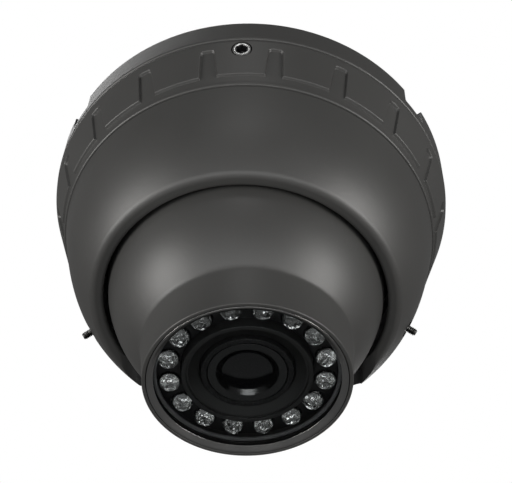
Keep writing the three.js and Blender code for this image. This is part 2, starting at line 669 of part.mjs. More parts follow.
function ballHousing() {
  const rootLatitude = THREE.MathUtils.radToDeg(Math.asin(-rootDepth / BALL_RADIUS));
  const ledgeLatitude = THREE.MathUtils.radToDeg(Math.asin(-BALL_LEDGE_DEPTH / ballInside));
  const windowSeat = windowBack + GAP;
  const boreBack = -rootDepth + 1;
  const body = turned([
    ...arc(BALL_RADIUS, BALL_TOP_LATITUDE, rootLatitude, BALL_STEPS),
    [barrelRadius(front + BEZEL_BEVEL), front + BEZEL_BEVEL],
    [BARREL_FRONT_RADIUS - BEZEL_BEVEL, front],
    [windowSeatRadius, front],
    [windowSeatRadius, windowSeat],
    [BARREL_BORE, windowSeat],
    [BARREL_BORE, boreBack],
    [BALL_LEDGE_RADIUS, -BALL_LEDGE_DEPTH - 2],
    [BALL_LEDGE_RADIUS, -BALL_LEDGE_DEPTH],
    ...arc(ballInside, ledgeLatitude, BALL_TOP_LATITUDE, 5),
  ], INNER);
  const tiltHole = disc(TILT_SCREW_RADIUS + GAP, -BALL_RADIUS - MARGIN, BALL_RADIUS + MARGIN).rotate([0, 90, 0]);
  const screwHoles = spread(3, 60).map((azimuth) => {
    const [x, y] = around(SENSOR_SCREW_CIRCLE, azimuth);
    return disc(screwHole, -BALL_LEDGE_DEPTH - SENSOR_SCREW_LENGTH, 0, SMALL, x, y);
  });
  return cut(body, [tiltHole, ...screwHoles]);
}

/** The screw that carries the ball on one arm, reaching into the ball's wall. */
function tiltScrew(side) {
  const piece = screw(
    TILT_SCREW_HEAD_RADIUS, TILT_SCREW_HEAD_HEIGHT, TILT_SCREW_RADIUS, TILT_SCREW_LENGTH,
    SCREW_DRIVE_ACROSS, SCREW_DRIVE_DEPTH,
  );
  const face = armOutside + GAP + TILT_SCREW_HEAD_HEIGHT;
  return piece.rotate([0, -90 * side, 0]).translate([side * face, 0, 0]);
}

/** The cap behind the ball, with a hole for the leads. */
function rearCover() {
  const edge = BALL_RADIUS * Math.cos(degToRad(BALL_TOP_LATITUDE)) - GAP;
  const low = BALL_RADIUS * Math.sin(degToRad(BALL_TOP_LATITUDE)) + GAP;
  const radius = (edge ** 2 + REAR_COVER_RISE ** 2) / (2 * REAR_COVER_RISE);
  const start = THREE.MathUtils.radToDeg(Math.acos(edge / radius));
  const dome = (size, from) => arc(size, from, 90, REAR_COVER_STEPS, low + REAR_COVER_RISE - radius);
  const inner = radius - BALL_WALL;
  const innerStart = THREE.MathUtils.radToDeg(Math.asin((radius - REAR_COVER_RISE) / inner));
  const outside = dome(radius, start).slice(0, -1);
  const inside = dome(inner, innerStart).slice(0, -1).reverse();
  const top = low + REAR_COVER_RISE;
  const body = turned([...outside, [0, top], [0, top - BALL_WALL], ...inside], INNER);
  return cut(body, [disc(REAR_COVER_HOLE, low, top + MARGIN)]);
}

add('ball_housing', ballHousing(), 'body_paint', ball);
add('tilt_screw_left', tiltScrew(-1), 'bright_steel', ball);
add('tilt_screw_right', tiltScrew(1), 'bright_steel', ball);
add('ball_rear_cover', rearCover(), 'black_plastic', ball);

// ---- Front of the barrel ------------------------------------------------------------------

/** The funnel-shaped ring in front of the window. */
function frontBezel() {
  const back = front + BEZEL_THICKNESS;
  return turned([
    [BEZEL_INNER_RADIUS, back],
    [BEZEL_INNER_RADIUS, back - BEZEL_BEVEL],
    [windowSeatRadius - GAP - BEZEL_BEVEL, front],
    [windowSeatRadius - GAP, front],
    [windowSeatRadius - GAP, back],
  ], INNER);
}

const gasketOuter = BARREL_BORE - GAP;
const gasketFront = windowBack + GAP;

add('front_bezel', frontBezel(), 'black_plastic', ball);
add('window', disc(windowSeatRadius - GAP, windowFront, windowBack, INNER), 'window_glass', ball);
add(
  'window_gasket',
  hoop(gasketOuter - GASKET_WIDTH / 2, gasketOuter, gasketFront, gasketFront + GASKET_THICKNESS, INNER),
  'grey_rubber',
  ball,
);

// ---- Lamps --------------------------------------------------------------------------------

const lampTip = windowBack + GAP;
const lampBack = lampTip + LAMP_LENGTH;
const lampHole = LAMP_RADIUS + LAMP_CLEARANCE;
const plateFront = front + LAMP_PLATE_DEPTH;
const plateBack = plateFront + LAMP_PLATE_THICKNESS;
const shroudHole = SHROUD_RADIUS + LAMP_CLEARANCE;
const lampAzimuths = spread(LAMP_COUNT, 180 / LAMP_COUNT + LAMP_CLOCKING);

function lampPlate() {
  const ring = hoop(shroudHole, BARREL_BORE - GAP, plateFront, plateBack, INNER);
  return cut(ring, lampAzimuths.map((azimuth) => {
    const [x, y] = around(LAMP_CIRCLE, azimuth);
    return disc(lampHole, plateFront - MARGIN, plateBack + MARGIN, SMALL, x, y);
  }));
}

/** A round-nosed lamp, tip down. */
function lamp() {
  const nose = arc(LAMP_RADIUS, -90, 0, 3, lampTip + LAMP_RADIUS);
  return turned([[0, lampTip], ...nose.slice(1), [LAMP_RADIUS, lampBack], [0, lampBack]], 12);
}

const lampBoardFront = lampBack + GAP;
const lampBoard = hoop(shroudHole, BARREL_BORE - GAP, lampBoardFront, lampBoardFront + BOARD_THICKNESS, INNER);

add('lamp_plate', lampPlate(), 'black_plastic', ball);
add('lamp_board', lampBoard, 'board_green', ball);
lampAzimuths.forEach((azimuth, i) => {
  const [x, y] = around(LAMP_CIRCLE, azimuth);
  add(`infrared_lamp_${i + 1}`, lamp(), 'lamp_resin', ball).position.set(x, y, 0);
});

// ---- Shroud -------------------------------------------------------------------------------

const lensFace = front + LENS_FACE_DEPTH;
const lensHeadBack = lensFace + LENS_HEAD_LENGTH;

/** The tube between lamps and lens: inside its edge a shallow cone runs in to the lens. */
function lensShroud() {
  const shroudFront = windowBack + GAP;
  const shroudBack = shroudFront + SHROUD_LENGTH;
  const throat = LENS_HEAD_RADIUS + SHROUD_THROAT_CLEARANCE;
  const bore = SHROUD_RADIUS - SHROUD_WALL;
  const coneFront = shroudFront + SHROUD_STEP;
  return turned([
    [bore, shroudFront],
    [SHROUD_RADIUS, shroudFront],
    [SHROUD_RADIUS, shroudBack],
    [throat, shroudBack],
    [throat, coneFront + SHROUD_CONE_DEPTH],
    [bore - 0.4, coneFront],
    [bore, coneFront],
  ], INNER);
}

add('lens_shroud', lensShroud(), 'black_plastic', ball);

// ---- Lens ---------------------------------------------------------------------------------

const frontGlassBack = lensFace + FRONT_GLASS_BULGE + FRONT_GLASS_THICKNESS;
const glassSeatRadius = FRONT_GLASS_RADIUS + GAP;
const lensEnd = lensHeadBack + LENS_SHANK_LENGTH;
const grooveInner = glassSeatRadius + LENS_INNER_RIM;
const grooveOuter = LENS_HEAD_RADIUS - LENS_RIM;

function lensBarrel() {
  return turned([
    [glassSeatRadius, lensFace + LENS_GROOVE_DEPTH / 2],
    [grooveInner, lensFace + LENS_GROOVE_DEPTH / 2],
    [grooveInner, lensFace + LENS_GROOVE_DEPTH],
    [grooveOuter, lensFace + LENS_GROOVE_DEPTH],
    [grooveOuter, lensFace],
    [LENS_HEAD_RADIUS, lensFace],
    [LENS_HEAD_RADIUS, lensHeadBack],
    [LENS_SHANK_RADIUS, lensHeadBack],
    [LENS_SHANK_RADIUS, lensEnd],
    [LENS_BORE_RADIUS, lensEnd],
    [LENS_BORE_RADIUS, frontGlassBack + GAP],
    [glassSeatRadius, frontGlassBack + GAP],
  ], FINE);
}

/** The front glass: flat behind, with a shallow bulge of a sphere in front. */
function frontGlass() {
  const rim = lensFace + FRONT_GLASS_BULGE;
  const radius = (FRONT_GLASS_RADIUS ** 2 + FRONT_GLASS_BULGE ** 2) / (2 * FRONT_GLASS_BULGE);
  const end = -THREE.MathUtils.radToDeg(Math.acos(FRONT_GLASS_RADIUS / radius));
  const bulge = arc(radius, -90, end, GLASS_STEPS, lensFace + radius);
  return turned([[0, lensFace], ...bulge.slice(1, -1), [FRONT_GLASS_RADIUS, rim],
    [FRONT_GLASS_RADIUS, frontGlassBack], [0, frontGlassBack]], FINE);
}

const ringFront = lensFace + 0.15;
const ringBack = lensFace + LENS_GROOVE_DEPTH - GAP;
const faceRing = hoop(grooveInner + GAP, grooveOuter - GAP, ringFront, ringBack, FINE);
const rearGlass = disc(REAR_GLASS_RADIUS, lensEnd - 2 * REAR_GLASS_THICKNESS, lensEnd - REAR_GLASS_THICKNESS, FINE);

add('lens_barrel', lensBarrel(), 'lens_metal', ball);
add('lens_face_ring', faceRing, 'lens_metal', ball);
add('lens_front_glass', frontGlass(), 'lens_glass', ball);
add('lens_rear_glass', rearGlass, 'lens_glass', ball);

// ---- Lens holder and sensor ---------------------------------------------------------------

const holderBore = LENS_SHANK_RADIUS + GAP;
const holderRadius = holderBore + HOLDER_WALL;
const holderBack = sensorBoardFront - GAP;
const nutFront = lensHeadBack + GAP;
const nutBack = nutFront + LOCK_NUT_LENGTH;
const holderFront = nutBack + GAP;
const flangeFront = holderBack - HOLDER_FLANGE_THICKNESS;
const holderScrews = [-90, 90].map((azimuth) => around(HOLDER_SCREW_CIRCLE, azimuth));
const sensorScrews = spread(3, 60).map((azimuth) => around(SENSOR_SCREW_CIRCLE, azimuth));

function lensHolder() {
  const body = turned([
    [holderBore, holderFront],
    [holderRadius, holderFront],
    [holderRadius, flangeFront],
    [HOLDER_FLANGE_RADIUS, flangeFront],
    [HOLDER_FLANGE_RADIUS, holderBack],
    [holderBore, holderBack],
  ], FINE);
  return cut(body, holderScrews.map(([x, y]) =>
    disc(screwHole, flangeFront - MARGIN, holderBack + MARGIN, SMALL, x, y)));
}

function sensorBoard() {
  const radius = Math.sqrt(ballInside ** 2 - BALL_LEDGE_DEPTH ** 2) - SENSOR_BOARD_CLEARANCE;
  const holes = [...holderScrews, ...sensorScrews].map(([x, y]) =>
    disc(screwHole, sensorBoardFront - MARGIN, sensorBoardBack + MARGIN, SMALL, x, y));
  return cut(disc(radius, sensorBoardFront, sensorBoardBack, INNER), holes);
}

/** A machine screw from behind the sensor board, shank down, at x, y. */
function sensorScrew(name, length, [x, y]) {
  const piece = screw(
    SCREW_HEAD_RADIUS, SCREW_HEAD_HEIGHT, SCREW_RADIUS, length, SCREW_DRIVE_ACROSS, SCREW_DRIVE_DEPTH,
  );
  add(name, piece.rotate([180, 0, 0]), 'bright_steel', ball).position.set(x, y, sensorBoardBack + headUnder);
}

const [sensorWidth, sensorDepth, sensorHeight] = IMAGE_SENSOR_SIZE;
const sensorMiddle = [0, 0, sensorBoardFront - GAP - sensorHeight / 2];
const filterBack = sensorBoardFront - GAP - sensorHeight - 2 * GAP;

add('lens_lock_nut', hoop(holderBore, holderRadius, nutFront, nutBack, FINE), 'lens_metal', ball);
add('lens_holder', lensHolder(), 'black_plastic', ball);
add('sensor_board', sensorBoard(), 'board_green', ball);
add('image_sensor', block(sensorMiddle, [sensorWidth, sensorDepth, sensorHeight]), 'chip_black', ball);
add('infrared_filter', disc(holderBore - GAP, filterBack - FILTER_THICKNESS, filterBack, FINE), 'lens_glass', ball);
holderScrews.forEach((place, i) => {
  sensorScrew(`lens_holder_screw_${i + 1}`, 2 * GAP + BOARD_THICKNESS + HOLDER_FLANGE_THICKNESS, place);
});
sensorScrews.forEach((place, i) => {
  sensorScrew(`sensor_board_screw_${i + 1}`, BOARD_THICKNESS + SENSOR_SCREW_LENGTH - GAP, place);
});

export default camera;
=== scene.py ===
"""Ceiling camera with a ball turret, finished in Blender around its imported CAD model.

Every visible part is a surface worked out with numpy: a profile turned about the camera's axis or
the barrel's, the grip ring's relief, threads and sockets. Lengths are in metres in the CAD's row
frame, and the ball's own parts are worked out along the barrel and then aimed.
"""

import json
import math

import bpy
import numpy as np
from bpy.props import FloatProperty, FloatVectorProperty, IntProperty, PointerProperty
from mathutils import Matrix, Vector


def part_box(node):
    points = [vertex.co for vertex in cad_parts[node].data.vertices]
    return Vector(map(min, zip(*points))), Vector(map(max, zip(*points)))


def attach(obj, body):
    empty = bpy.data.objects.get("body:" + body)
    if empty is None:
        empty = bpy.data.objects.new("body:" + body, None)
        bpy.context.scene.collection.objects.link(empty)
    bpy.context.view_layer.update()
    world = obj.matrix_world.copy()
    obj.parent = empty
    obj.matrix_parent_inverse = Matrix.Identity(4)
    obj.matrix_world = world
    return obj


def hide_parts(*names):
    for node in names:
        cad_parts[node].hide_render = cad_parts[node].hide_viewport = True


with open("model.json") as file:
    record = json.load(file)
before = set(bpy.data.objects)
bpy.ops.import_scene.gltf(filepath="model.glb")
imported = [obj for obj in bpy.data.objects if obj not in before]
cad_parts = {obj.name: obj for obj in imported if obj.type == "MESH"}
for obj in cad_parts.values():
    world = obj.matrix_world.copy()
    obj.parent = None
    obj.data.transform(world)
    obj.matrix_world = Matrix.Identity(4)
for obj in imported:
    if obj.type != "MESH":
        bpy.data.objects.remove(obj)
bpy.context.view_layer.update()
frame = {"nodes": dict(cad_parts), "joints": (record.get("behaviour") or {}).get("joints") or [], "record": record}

bl_info = {
    "name": "Ball Turret Ceiling Camera",
    "version": (1, 0, 0),
    "blender": (4, 5, 0),
    "location": "3D View > Sidebar > Camera",
    "description": "Builds the casings, lens, lamps and screws of a ceiling camera",
    "category": "Object",
}

MM = 0.001
FRONT_LIGHT_STRETCH = 3.4
JOINTS = {joint["name"]: joint for joint in frame["joints"]}


# ---- Where things are --------------------------------------------------------------------------

def low(node):
    """The lowest height of a CAD node."""
    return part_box(node)[0].z


def high(node):
    """The highest height of a CAD node."""
    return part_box(node)[1].z


def reach(node):
    """The radius of a round CAD node about the camera's axis."""
    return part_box(node)[1].x


def aim():
    """The barrel's frame: rows are its own X along the tilt axis, Y, and Z back along the barrel."""
    across = np.array(JOINTS["tilt"]["axis"], float)
    back = -np.array(JOINTS["lens_turn"]["axis"], float)
    across /= np.linalg.norm(across)
    back /= np.linalg.norm(back)
    return np.array([across, np.cross(back, across), back])


def aimed(points):
    """Points given along the barrel, about the ball's centre, brought into the row frame."""
    return points @ aim() + np.array(JOINTS["tilt"]["pos_m"], float)


def unmoved(points):
    """Points that are in the row frame already."""
    return points


# ---- Surfaces ----------------------------------------------------------------------------------

def rounded(corners, radii, steps=4):
    """An outline of [radius, height] corners with each corner turned into a fillet.

    The fillet is the curve (1-t)^2 A + 2 t (1-t) P + t^2 B between the points A and B that lie the
    radius before and after the corner P. One more point each side, a third of the radius further
    out, keeps the flats flat. The radius is at most two fifths of the shorter side.
    """
    here = np.array(corners, float)
    before = np.roll(here, 1, axis=0) - here
    after = np.roll(here, -1, axis=0) - here
    length_before = np.linalg.norm(before, axis=1)
    length_after = np.linalg.norm(after, axis=1)
    size = np.minimum(np.broadcast_to(np.array(radii, float), len(here)),
                      0.36 * np.minimum(length_before, length_after))[:, None]
    start = here + before / length_before[:, None] * size
    end = here + after / length_after[:, None] * size
    t = np.linspace(0, 1, steps + 1)[None, :, None]
    curve = (1 - t) ** 2 * start[:, None] + 2 * t * (1 - t) * here[:, None] + t ** 2 * end[:, None]
    lead = (here + (start - here) * 1.3)[:, None]
    trail = (here + (end - here) * 1.3)[:, None]
    return np.concatenate([lead, curve, trail], axis=1).reshape(-1, 2)


def opened(outline, steps=4):
    """A filleted outline without its first and last corners, which lie on the axis or on a neighbour."""
    per_corner = steps + 3
    return outline[per_corner:-per_corner]


def mesh_object(name, points, faces_quads, faces_triangles, smooth_angle=35):
    """A mesh from arrays of points, quads and triangles, its faces turned to point outwards.

    The signed volume, a sixth of the sum of a . (b x c) over all triangles, says which way they are.
    """
    triangles = np.concatenate([faces_triangles, faces_quads[:, [0, 1, 2]], faces_quads[:, [0, 2, 3]]])
    a, b, c = points[triangles[:, 0]], points[triangles[:, 1]], points[triangles[:, 2]]
    if np.einsum("ij,ij->", a, np.cross(b, c)) < 0:
        faces_quads = faces_quads[:, ::-1]
        faces_triangles = faces_triangles[:, ::-1]
    mesh = bpy.data.meshes.new(name)
    counts = np.concatenate([np.full(len(faces_quads), 4), np.full(len(faces_triangles), 3)])
    corners = np.concatenate([faces_quads.ravel(), faces_triangles.ravel()])
    mesh.vertices.add(len(points))
    mesh.vertices.foreach_set("co", points.astype(np.float32).ravel())
    mesh.loops.add(len(corners))
    mesh.loops.foreach_set("vertex_index", corners.astype(np.int32))
    mesh.polygons.add(len(counts))
    starts = np.concatenate([[0], np.cumsum(counts)[:-1]])
    mesh.polygons.foreach_set("loop_start", starts.astype(np.int32))
    mesh.update(calc_edges=True)
    mesh.validate()
    mesh.shade_smooth()
    mesh.set_sharp_from_angle(angle=math.radians(smooth_angle))
    piece = bpy.data.objects.new(name, mesh)
    bpy.context.scene.collection.objects.link(piece)
    return piece


def ring_faces(rows, columns, wrap):
    """The quads of a grid of closed rings, whose last ring joins the first where it wraps."""
    row, column = np.meshgrid(np.arange(rows if wrap else rows - 1), np.arange(columns), indexing="ij")
    below, beside = (row + 1) % rows, (column + 1) % columns
    near, far = row * columns, below * columns
    return np.stack([near + column, near + beside, far + beside, far + column], axis=-1).reshape(-1, 4)


def rings(name, grid, wrap=False, placed=unmoved, smooth_angle=35):
    """A closed surface through a grid of closed rings; unless it wraps, a pole closes each end."""
    rows, columns = grid.shape[:2]
    points = grid.reshape(-1, 3)
    quads = ring_faces(rows, columns, wrap)
    triangles = np.zeros((0, 3), int)
    if not wrap:
        count = len(points)
        points = np.concatenate([points, grid[0].mean(axis=0)[None], grid[-1].mean(axis=0)[None]])
        here = np.arange(columns)
        there = (here + 1) % columns
        last = (rows - 1) * columns
        first_cap = np.stack([np.full(columns, count), there, here], axis=1)
        last_cap = np.stack([np.full(columns, count + 1), last + here, last + there], axis=1)
        triangles = np.concatenate([first_cap, last_cap])
    return mesh_object(name, placed(points), quads, triangles, smooth_angle)


def turned_grid(outline, columns):
    """Each outline point [r, z] runs round the axis: (r sin a, -r cos a, z) for a from 0 to a full turn."""
    angle = np.linspace(0, 2 * np.pi, columns, endpoint=False)
    return swept(outline[:, :1], angle, outline[:, 1:])


def turned(name, outline, columns=192, wrap=True, placed=unmoved, smooth_angle=35):
    """A solid turned from its outline; one that doesn't wrap is closed on the axis at both ends."""
    return rings(name, turned_grid(np.asarray(outline, float), columns), wrap, placed, smooth_angle)


def hexagonal(angle, across):
    """The distance from a hexagon's middle to its side: half its width over the cosine of the angle
    from the middle of that side."""
    from_flat = (angle + np.pi / 6) % (np.pi / 3) - np.pi / 6
    return across / 2 / np.cos(from_flat)


def around(angle, levels):
    """A grid of rings about Z from levels of radius and height, where a radius may vary with the angle."""
    return np.array([np.stack([r * np.cos(angle), r * np.sin(angle), z + 0 * angle], axis=-1) for r, z in levels])


def swept(radius, angle, height):
    """Grid points at radii, azimuths from -Y and heights."""
    return np.stack([radius * np.sin(angle), -radius * np.cos(angle), height + 0 * angle], axis=-1)


def from_front(start, corners):
    """Corners of an outline, given in millimetres of radius and of distance behind a start, in metres."""
    return [(radius * MM, start + behind * MM) for radius, behind in corners]


def shifted(x, y):
    """A function that moves points sideways."""
    return lambda points: points + np.array([x, y, 0])


def arc(radius, start, end, steps, height=0.0):
    """Outline points (r cos a, height + r sin a) for a from start to end, in degrees."""
    angle = np.radians(np.linspace(start, end, steps + 1))
    return np.stack([radius * np.cos(angle), height + radius * np.sin(angle)], axis=1)


def along(azimuth):
    """The turn about Z that takes -Y to an azimuth, in degrees towards +X."""
    cosine, sine = math.cos(math.radians(azimuth)), math.sin(math.radians(azimuth))
    return np.array([[cosine, -sine, 0], [sine, cosine, 0], [0, 0, 1]])


def pointing(direction, place):
    """A function that turns points made along +Z so that they point in a direction from a place."""
    turn = np.array(Vector(direction).to_track_quat("Z", "Y").to_matrix())
    return lambda points: points @ turn.T + np.array(place, float)


def combined(body, joins=(), cuts=()):
    """The body with solids joined to it and others cut out of it, by exact mesh booleans."""
    for operation, others in (("UNION", joins), ("DIFFERENCE", cuts)):
        for other in others:
            change = body.modifiers.new(operation.title(), "BOOLEAN")
            change.solver = "MANIFOLD"
            change.operation = operation
            change.object = other
    bpy.context.view_layer.update()
    evaluated = body.evaluated_get(bpy.context.evaluated_depsgraph_get())
    mesh = bpy.data.meshes.new_from_object(evaluated)
    body.modifiers.clear()
    old = body.data
    body.data = mesh
    bpy.data.meshes.remove(old)
    mesh.shade_smooth()
    mesh.set_sharp_from_angle(angle=math.radians(35))
    for other in (*joins, *cuts):
        data = other.data
        bpy.data.objects.remove(other)
        bpy.data.meshes.remove(data)
    return body


def rod(radius, start, end, columns=48, placed=unmoved):
    """A plain pin along Z, used to join or cut."""
    grid = turned_grid(np.array([[radius, start], [radius, end]]), columns)
    return rings("tool", grid, placed=placed)


def settled(piece, body, slot, material, *nodes):
    """Gives a piece its material, the body that it rides on and the nodes that it stands for; the slot is not
    used.
    """
    piece.data.materials.clear()
    piece.data.materials.append(material)
    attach(piece, body)
    if nodes:
        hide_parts(*nodes)
    return piece


# ---- Shader maths ------------------------------------------------------------------------------

class Wire:
    """A shader socket that can stand in a Python expression; each operation adds a Math node."""

    def __init__(self, recipe, socket):
        self.recipe = recipe
        self.socket = socket

    def _math(self, operation, first, second):
        return self.recipe.node("ShaderNodeMath", {"operation": operation}, {0: first, 1: second})

    def __add__(self, other):
        return self._math("ADD", self, other)

    def __radd__(self, other):
        return self._math("ADD", other, self)

    def __sub__(self, other):
        return self._math("SUBTRACT", self, other)

    def __rsub__(self, other):
        return self._math("SUBTRACT", other, self)

    def __mul__(self, other):
        return self._math("MULTIPLY", self, other)

    def __rmul__(self, other):
        return self._math("MULTIPLY", other, self)

    def __pow__(self, other):
        return self._math("POWER", self, other)

    def over(self, edge, width):
        """From 0 to 1 as the value passes an edge, over a width about it."""
        settings = {"interpolation_type": "SMOOTHSTEP"}
        values = {"Value": self, "From Min": edge - width / 2, "From Max": edge + width / 2}
        return self.recipe.node("ShaderNodeMapRange", settings, values)


class Recipe:
    """A material made of nodes."""

    def __init__(self, name):
        self.material = bpy.data.materials.new(name)
        self.material.use_nodes = True
        self.tree = self.material.node_tree
        self.tree.nodes.clear()

    def node(self, kind, settings=None, values=None, output=0):
        """Adds a node, sets what it is, then fills its sockets with numbers or links."""
        made = self.tree.nodes.new(kind)
        for key, setting in (settings or {}).items():
            setattr(made, key, setting)
        for key, value in (values or {}).items():
            if isinstance(value, Wire):
                self.tree.links.new(value.socket, made.inputs[key])
            else:
                made.inputs[key].default_value = value
        return Wire(self, made.outputs[output])

    def place(self):
        """Where a point is on the object, in metres."""
        return self.node("ShaderNodeTexCoord", output="Object")

    def noise(self, scale, detail=2.0, roughness=0.5, where=None):
        """Cloudy noise of about one over the scale, in metres."""
        values = {"Vector": where or self.place(), "Scale": scale, "Detail": detail, "Roughness": roughness}
        return self.node("ShaderNodeTexNoise", {"noise_dimensions": "3D"}, values)

    def cells(self, scale):
        """The distance to the nearest of scattered points."""
        values = {"Vector": self.place(), "Scale": scale}
        return self.node("ShaderNodeTexVoronoi", {"feature": "F1"}, values)

    def mix(self, factor, first, second):
        """A colour between two."""
        return self.node("ShaderNodeMix", {"data_type": "RGBA"}, {0: factor, 6: first, 7: second}, output=2)

    def bump(self, height, strength, distance):
        """The normal of a surface raised by the height times the distance."""
        values = {"Height": height, "Strength": strength, "Distance": distance}
        return self.node("ShaderNodeBump", None, values)

    def surface(self, shader):
        """Ends the material in a shader."""
        end = self.tree.nodes.new("ShaderNodeOutputMaterial")
        self.tree.links.new(shader.socket, end.inputs["Surface"])
        return self.material

    def principled(self, **values):
        """Ends the material in a Principled shader, with spaces for the underscores in its sockets' names."""
        named = {key.replace("_", " "): value for key, value in values.items()}
        return self.surface(self.node("ShaderNodeBsdfPrincipled", None, named))


def shade(colour, factor):
    """An RGBA colour made lighter or darker."""
    return (*(channel * factor for channel in colour[:3]), 1.0)


def body_paint(finish):
    """Satin powder coat: a fine orange peel, faint clouds in colour and gloss."""
    recipe = Recipe("body_paint")
    grain = recipe.noise(finish.paint_grain, 2.0)
    peel = recipe.noise(finish.paint_grain / 3.5, 1.0)
    clouds = recipe.noise(55.0, 3.0)
    speck = recipe.cells(finish.paint_grain / 2).over(0.16, 0.1)
    paint = tuple(finish.paint_colour)
    colour = recipe.mix(clouds, shade(paint, 0.9), shade(paint, 1.1))
    flecked = recipe.mix((1 - speck) * 0.25, colour, shade(paint, 1.9))
    return recipe.principled(
        Base_Color=flecked,
        Roughness=finish.paint_roughness - 0.05 + clouds * 0.1,
        Metallic=0.0,
        Specular_IOR_Level=finish.paint_specular,
        Normal=recipe.bump(grain + peel * 1.5, 0.35, 0.00003),
    )


def bright_steel():
    """Polished screw steel with fine scratches and a little dulling."""
    recipe = Recipe("bright_steel")
    scratches = recipe.noise(3500.0, 3.0, 0.7)
    dull = recipe.noise(400.0, 2.0)
    return recipe.principled(
        Base_Color=recipe.mix(dull, (0.80, 0.80, 0.79, 1), (0.62, 0.62, 0.61, 1)),
        Roughness=0.16 + dull * 0.16,
        Metallic=1.0,
        Normal=recipe.bump(scratches, 0.25, 0.00002),
    )


def dark_steel():
    """Blackened screw steel, worn a little brighter in patches."""
    recipe = Recipe("dark_steel")
    wear = recipe.noise(900.0, 3.0).over(0.56, 0.2)
    return recipe.principled(
        Base_Color=recipe.mix(wear, (0.03, 0.03, 0.03, 1), (0.14, 0.14, 0.135, 1)),
        Roughness=0.42 - wear * 0.12,
        Metallic=1.0,
        Normal=recipe.bump(recipe.noise(2500.0), 0.2, 0.00002),
    )


def bracket_steel():
    """Zinc-plated sheet, brushed along its length."""
    recipe = Recipe("bracket_steel")
    stretched = recipe.node("ShaderNodeMapping", None, {"Vector": recipe.place(), "Scale": (1.0, 1.0, 14.0)})
    brushed = recipe.noise(600.0, 3.0, 0.6, stretched)
    return recipe.principled(
        Base_Color=recipe.mix(brushed, (0.42, 0.42, 0.43, 1), (0.56, 0.56, 0.57, 1)),
        Roughness=0.3 + brushed * 0.2,
        Metallic=1.0,
        Normal=recipe.bump(brushed, 0.2, 0.00002),
    )


def black_plastic():
    """Moulded black plastic with a fine spark-eroded grain."""
    recipe = Recipe("black_plastic")
    grain = recipe.noise(4200.0, 2.0)
    clouds = recipe.noise(120.0, 2.0)
    return recipe.principled(
        Base_Color=recipe.mix(clouds, (0.010, 0.010, 0.0105, 1), (0.015, 0.015, 0.0155, 1)),
        Roughness=0.34 + clouds * 0.12,
        Normal=recipe.bump(grain, 0.18, 0.00002),
    )


def satin_black(name, tone, roughness, metallic=0.0, gloss=0.5):
    """Black enamel with a satin sheen and a faint unevenness."""
    recipe = Recipe(name)
    clouds = recipe.noise(160.0, 2.0)
    darker, lighter = tone * 0.85, tone * 1.15
    return recipe.principled(
        Base_Color=recipe.mix(clouds, (darker, darker, darker, 1), (lighter, lighter, tone * 1.12, 1)),
        Roughness=roughness - 0.05 + clouds * 0.1,
        Metallic=metallic,
        Specular_IOR_Level=gloss,
        Normal=recipe.bump(recipe.noise(3000.0), 0.12, 0.00002),
    )


def lamp_metal():
    """Silvered lead frame inside a lamp."""
    recipe = Recipe("lamp_metal")
    ripple = recipe.noise(1500.0, 2.0)
    return recipe.principled(
        Base_Color=recipe.mix(ripple, (0.97, 0.97, 0.96, 1), (0.80, 0.80, 0.79, 1)),
        Roughness=0.08 + ripple * 0.12,
        Metallic=1.0,
        Normal=recipe.bump(ripple, 1.0, 0.0004),
    )


def gloss_black():
    """Polished black enamel."""
    recipe = Recipe("gloss_black")
    clouds = recipe.noise(200.0, 2.0)
    return recipe.principled(
        Base_Color=recipe.mix(clouds, (0.004, 0.004, 0.0042, 1), (0.006, 0.006, 0.0063, 1)),
        Roughness=0.1 + clouds * 0.06,
        Specular_IOR_Level=1.0,
        Normal=recipe.bump(recipe.noise(900.0), 0.04, 0.00001),
    )


def lens_metal():
    """Black anodised aluminium with turned marks and a speckled, blasted rim."""
    recipe = Recipe("lens_metal")
    speckle = recipe.cells(3200.0)
    grain = recipe.noise(5200.0, 2.0)
    return recipe.principled(
        Base_Color=recipe.mix(speckle.over(0.35, 0.3), (0.05, 0.05, 0.051, 1), (0.011, 0.011, 0.0115, 1)),
        Roughness=0.36 + grain * 0.2,
        Metallic=0.0,
        Normal=recipe.bump(speckle + grain, 0.55, 0.00005),
    )


def rubber(name, colour):
    """Matt moulded rubber with a soft, uneven skin."""
    recipe = Recipe(name)
    skin = recipe.noise(1800.0, 3.0)
    return recipe.principled(
        Base_Color=recipe.mix(skin, shade(colour, 0.8), shade(colour, 1.2)),
        Roughness=0.7 + skin * 0.18,
        Normal=recipe.bump(skin, 0.3, 0.00004),
    )


def window_glass(finish):
    """Clear flat glass: see-through, with the gloss that grows towards a glancing view."""
    recipe = Recipe("window_glass")
    clear = recipe.node("ShaderNodeBsdfTransparent", None, {"Color": (0.95, 0.96, 0.96, 1)})
    film = recipe.noise(90.0, 2.0)
    gloss = recipe.node("ShaderNodeBsdfPrincipled", None, {
        "Base Color": (0.01, 0.01, 0.01, 1), "Roughness": 0.02 + film * 0.02, "Metallic": 0.0,
        "Specular IOR Level": 1.0,
    })
    strength = recipe.node("ShaderNodeFresnel", None, {"IOR": finish.window_gloss})
    return recipe.surface(recipe.node("ShaderNodeMixShader", None, {0: strength, 1: clear, 2: gloss}))


def lens_glass():
    """Deep, coated lens glass, almost black, with a faint tint that varies in its coating."""
    recipe = Recipe("lens_glass")
    coating = recipe.noise(140.0, 1.0)
    return recipe.principled(
        Base_Color=recipe.mix(coating, (0.004, 0.004, 0.005, 1), (0.007, 0.006, 0.008, 1)),
        Roughness=0.03 + coating * 0.03,
        Coat_Weight=0.6,
        Coat_Roughness=0.02,
        Normal=recipe.bump(recipe.noise(300.0), 0.02, 0.00001),
    )


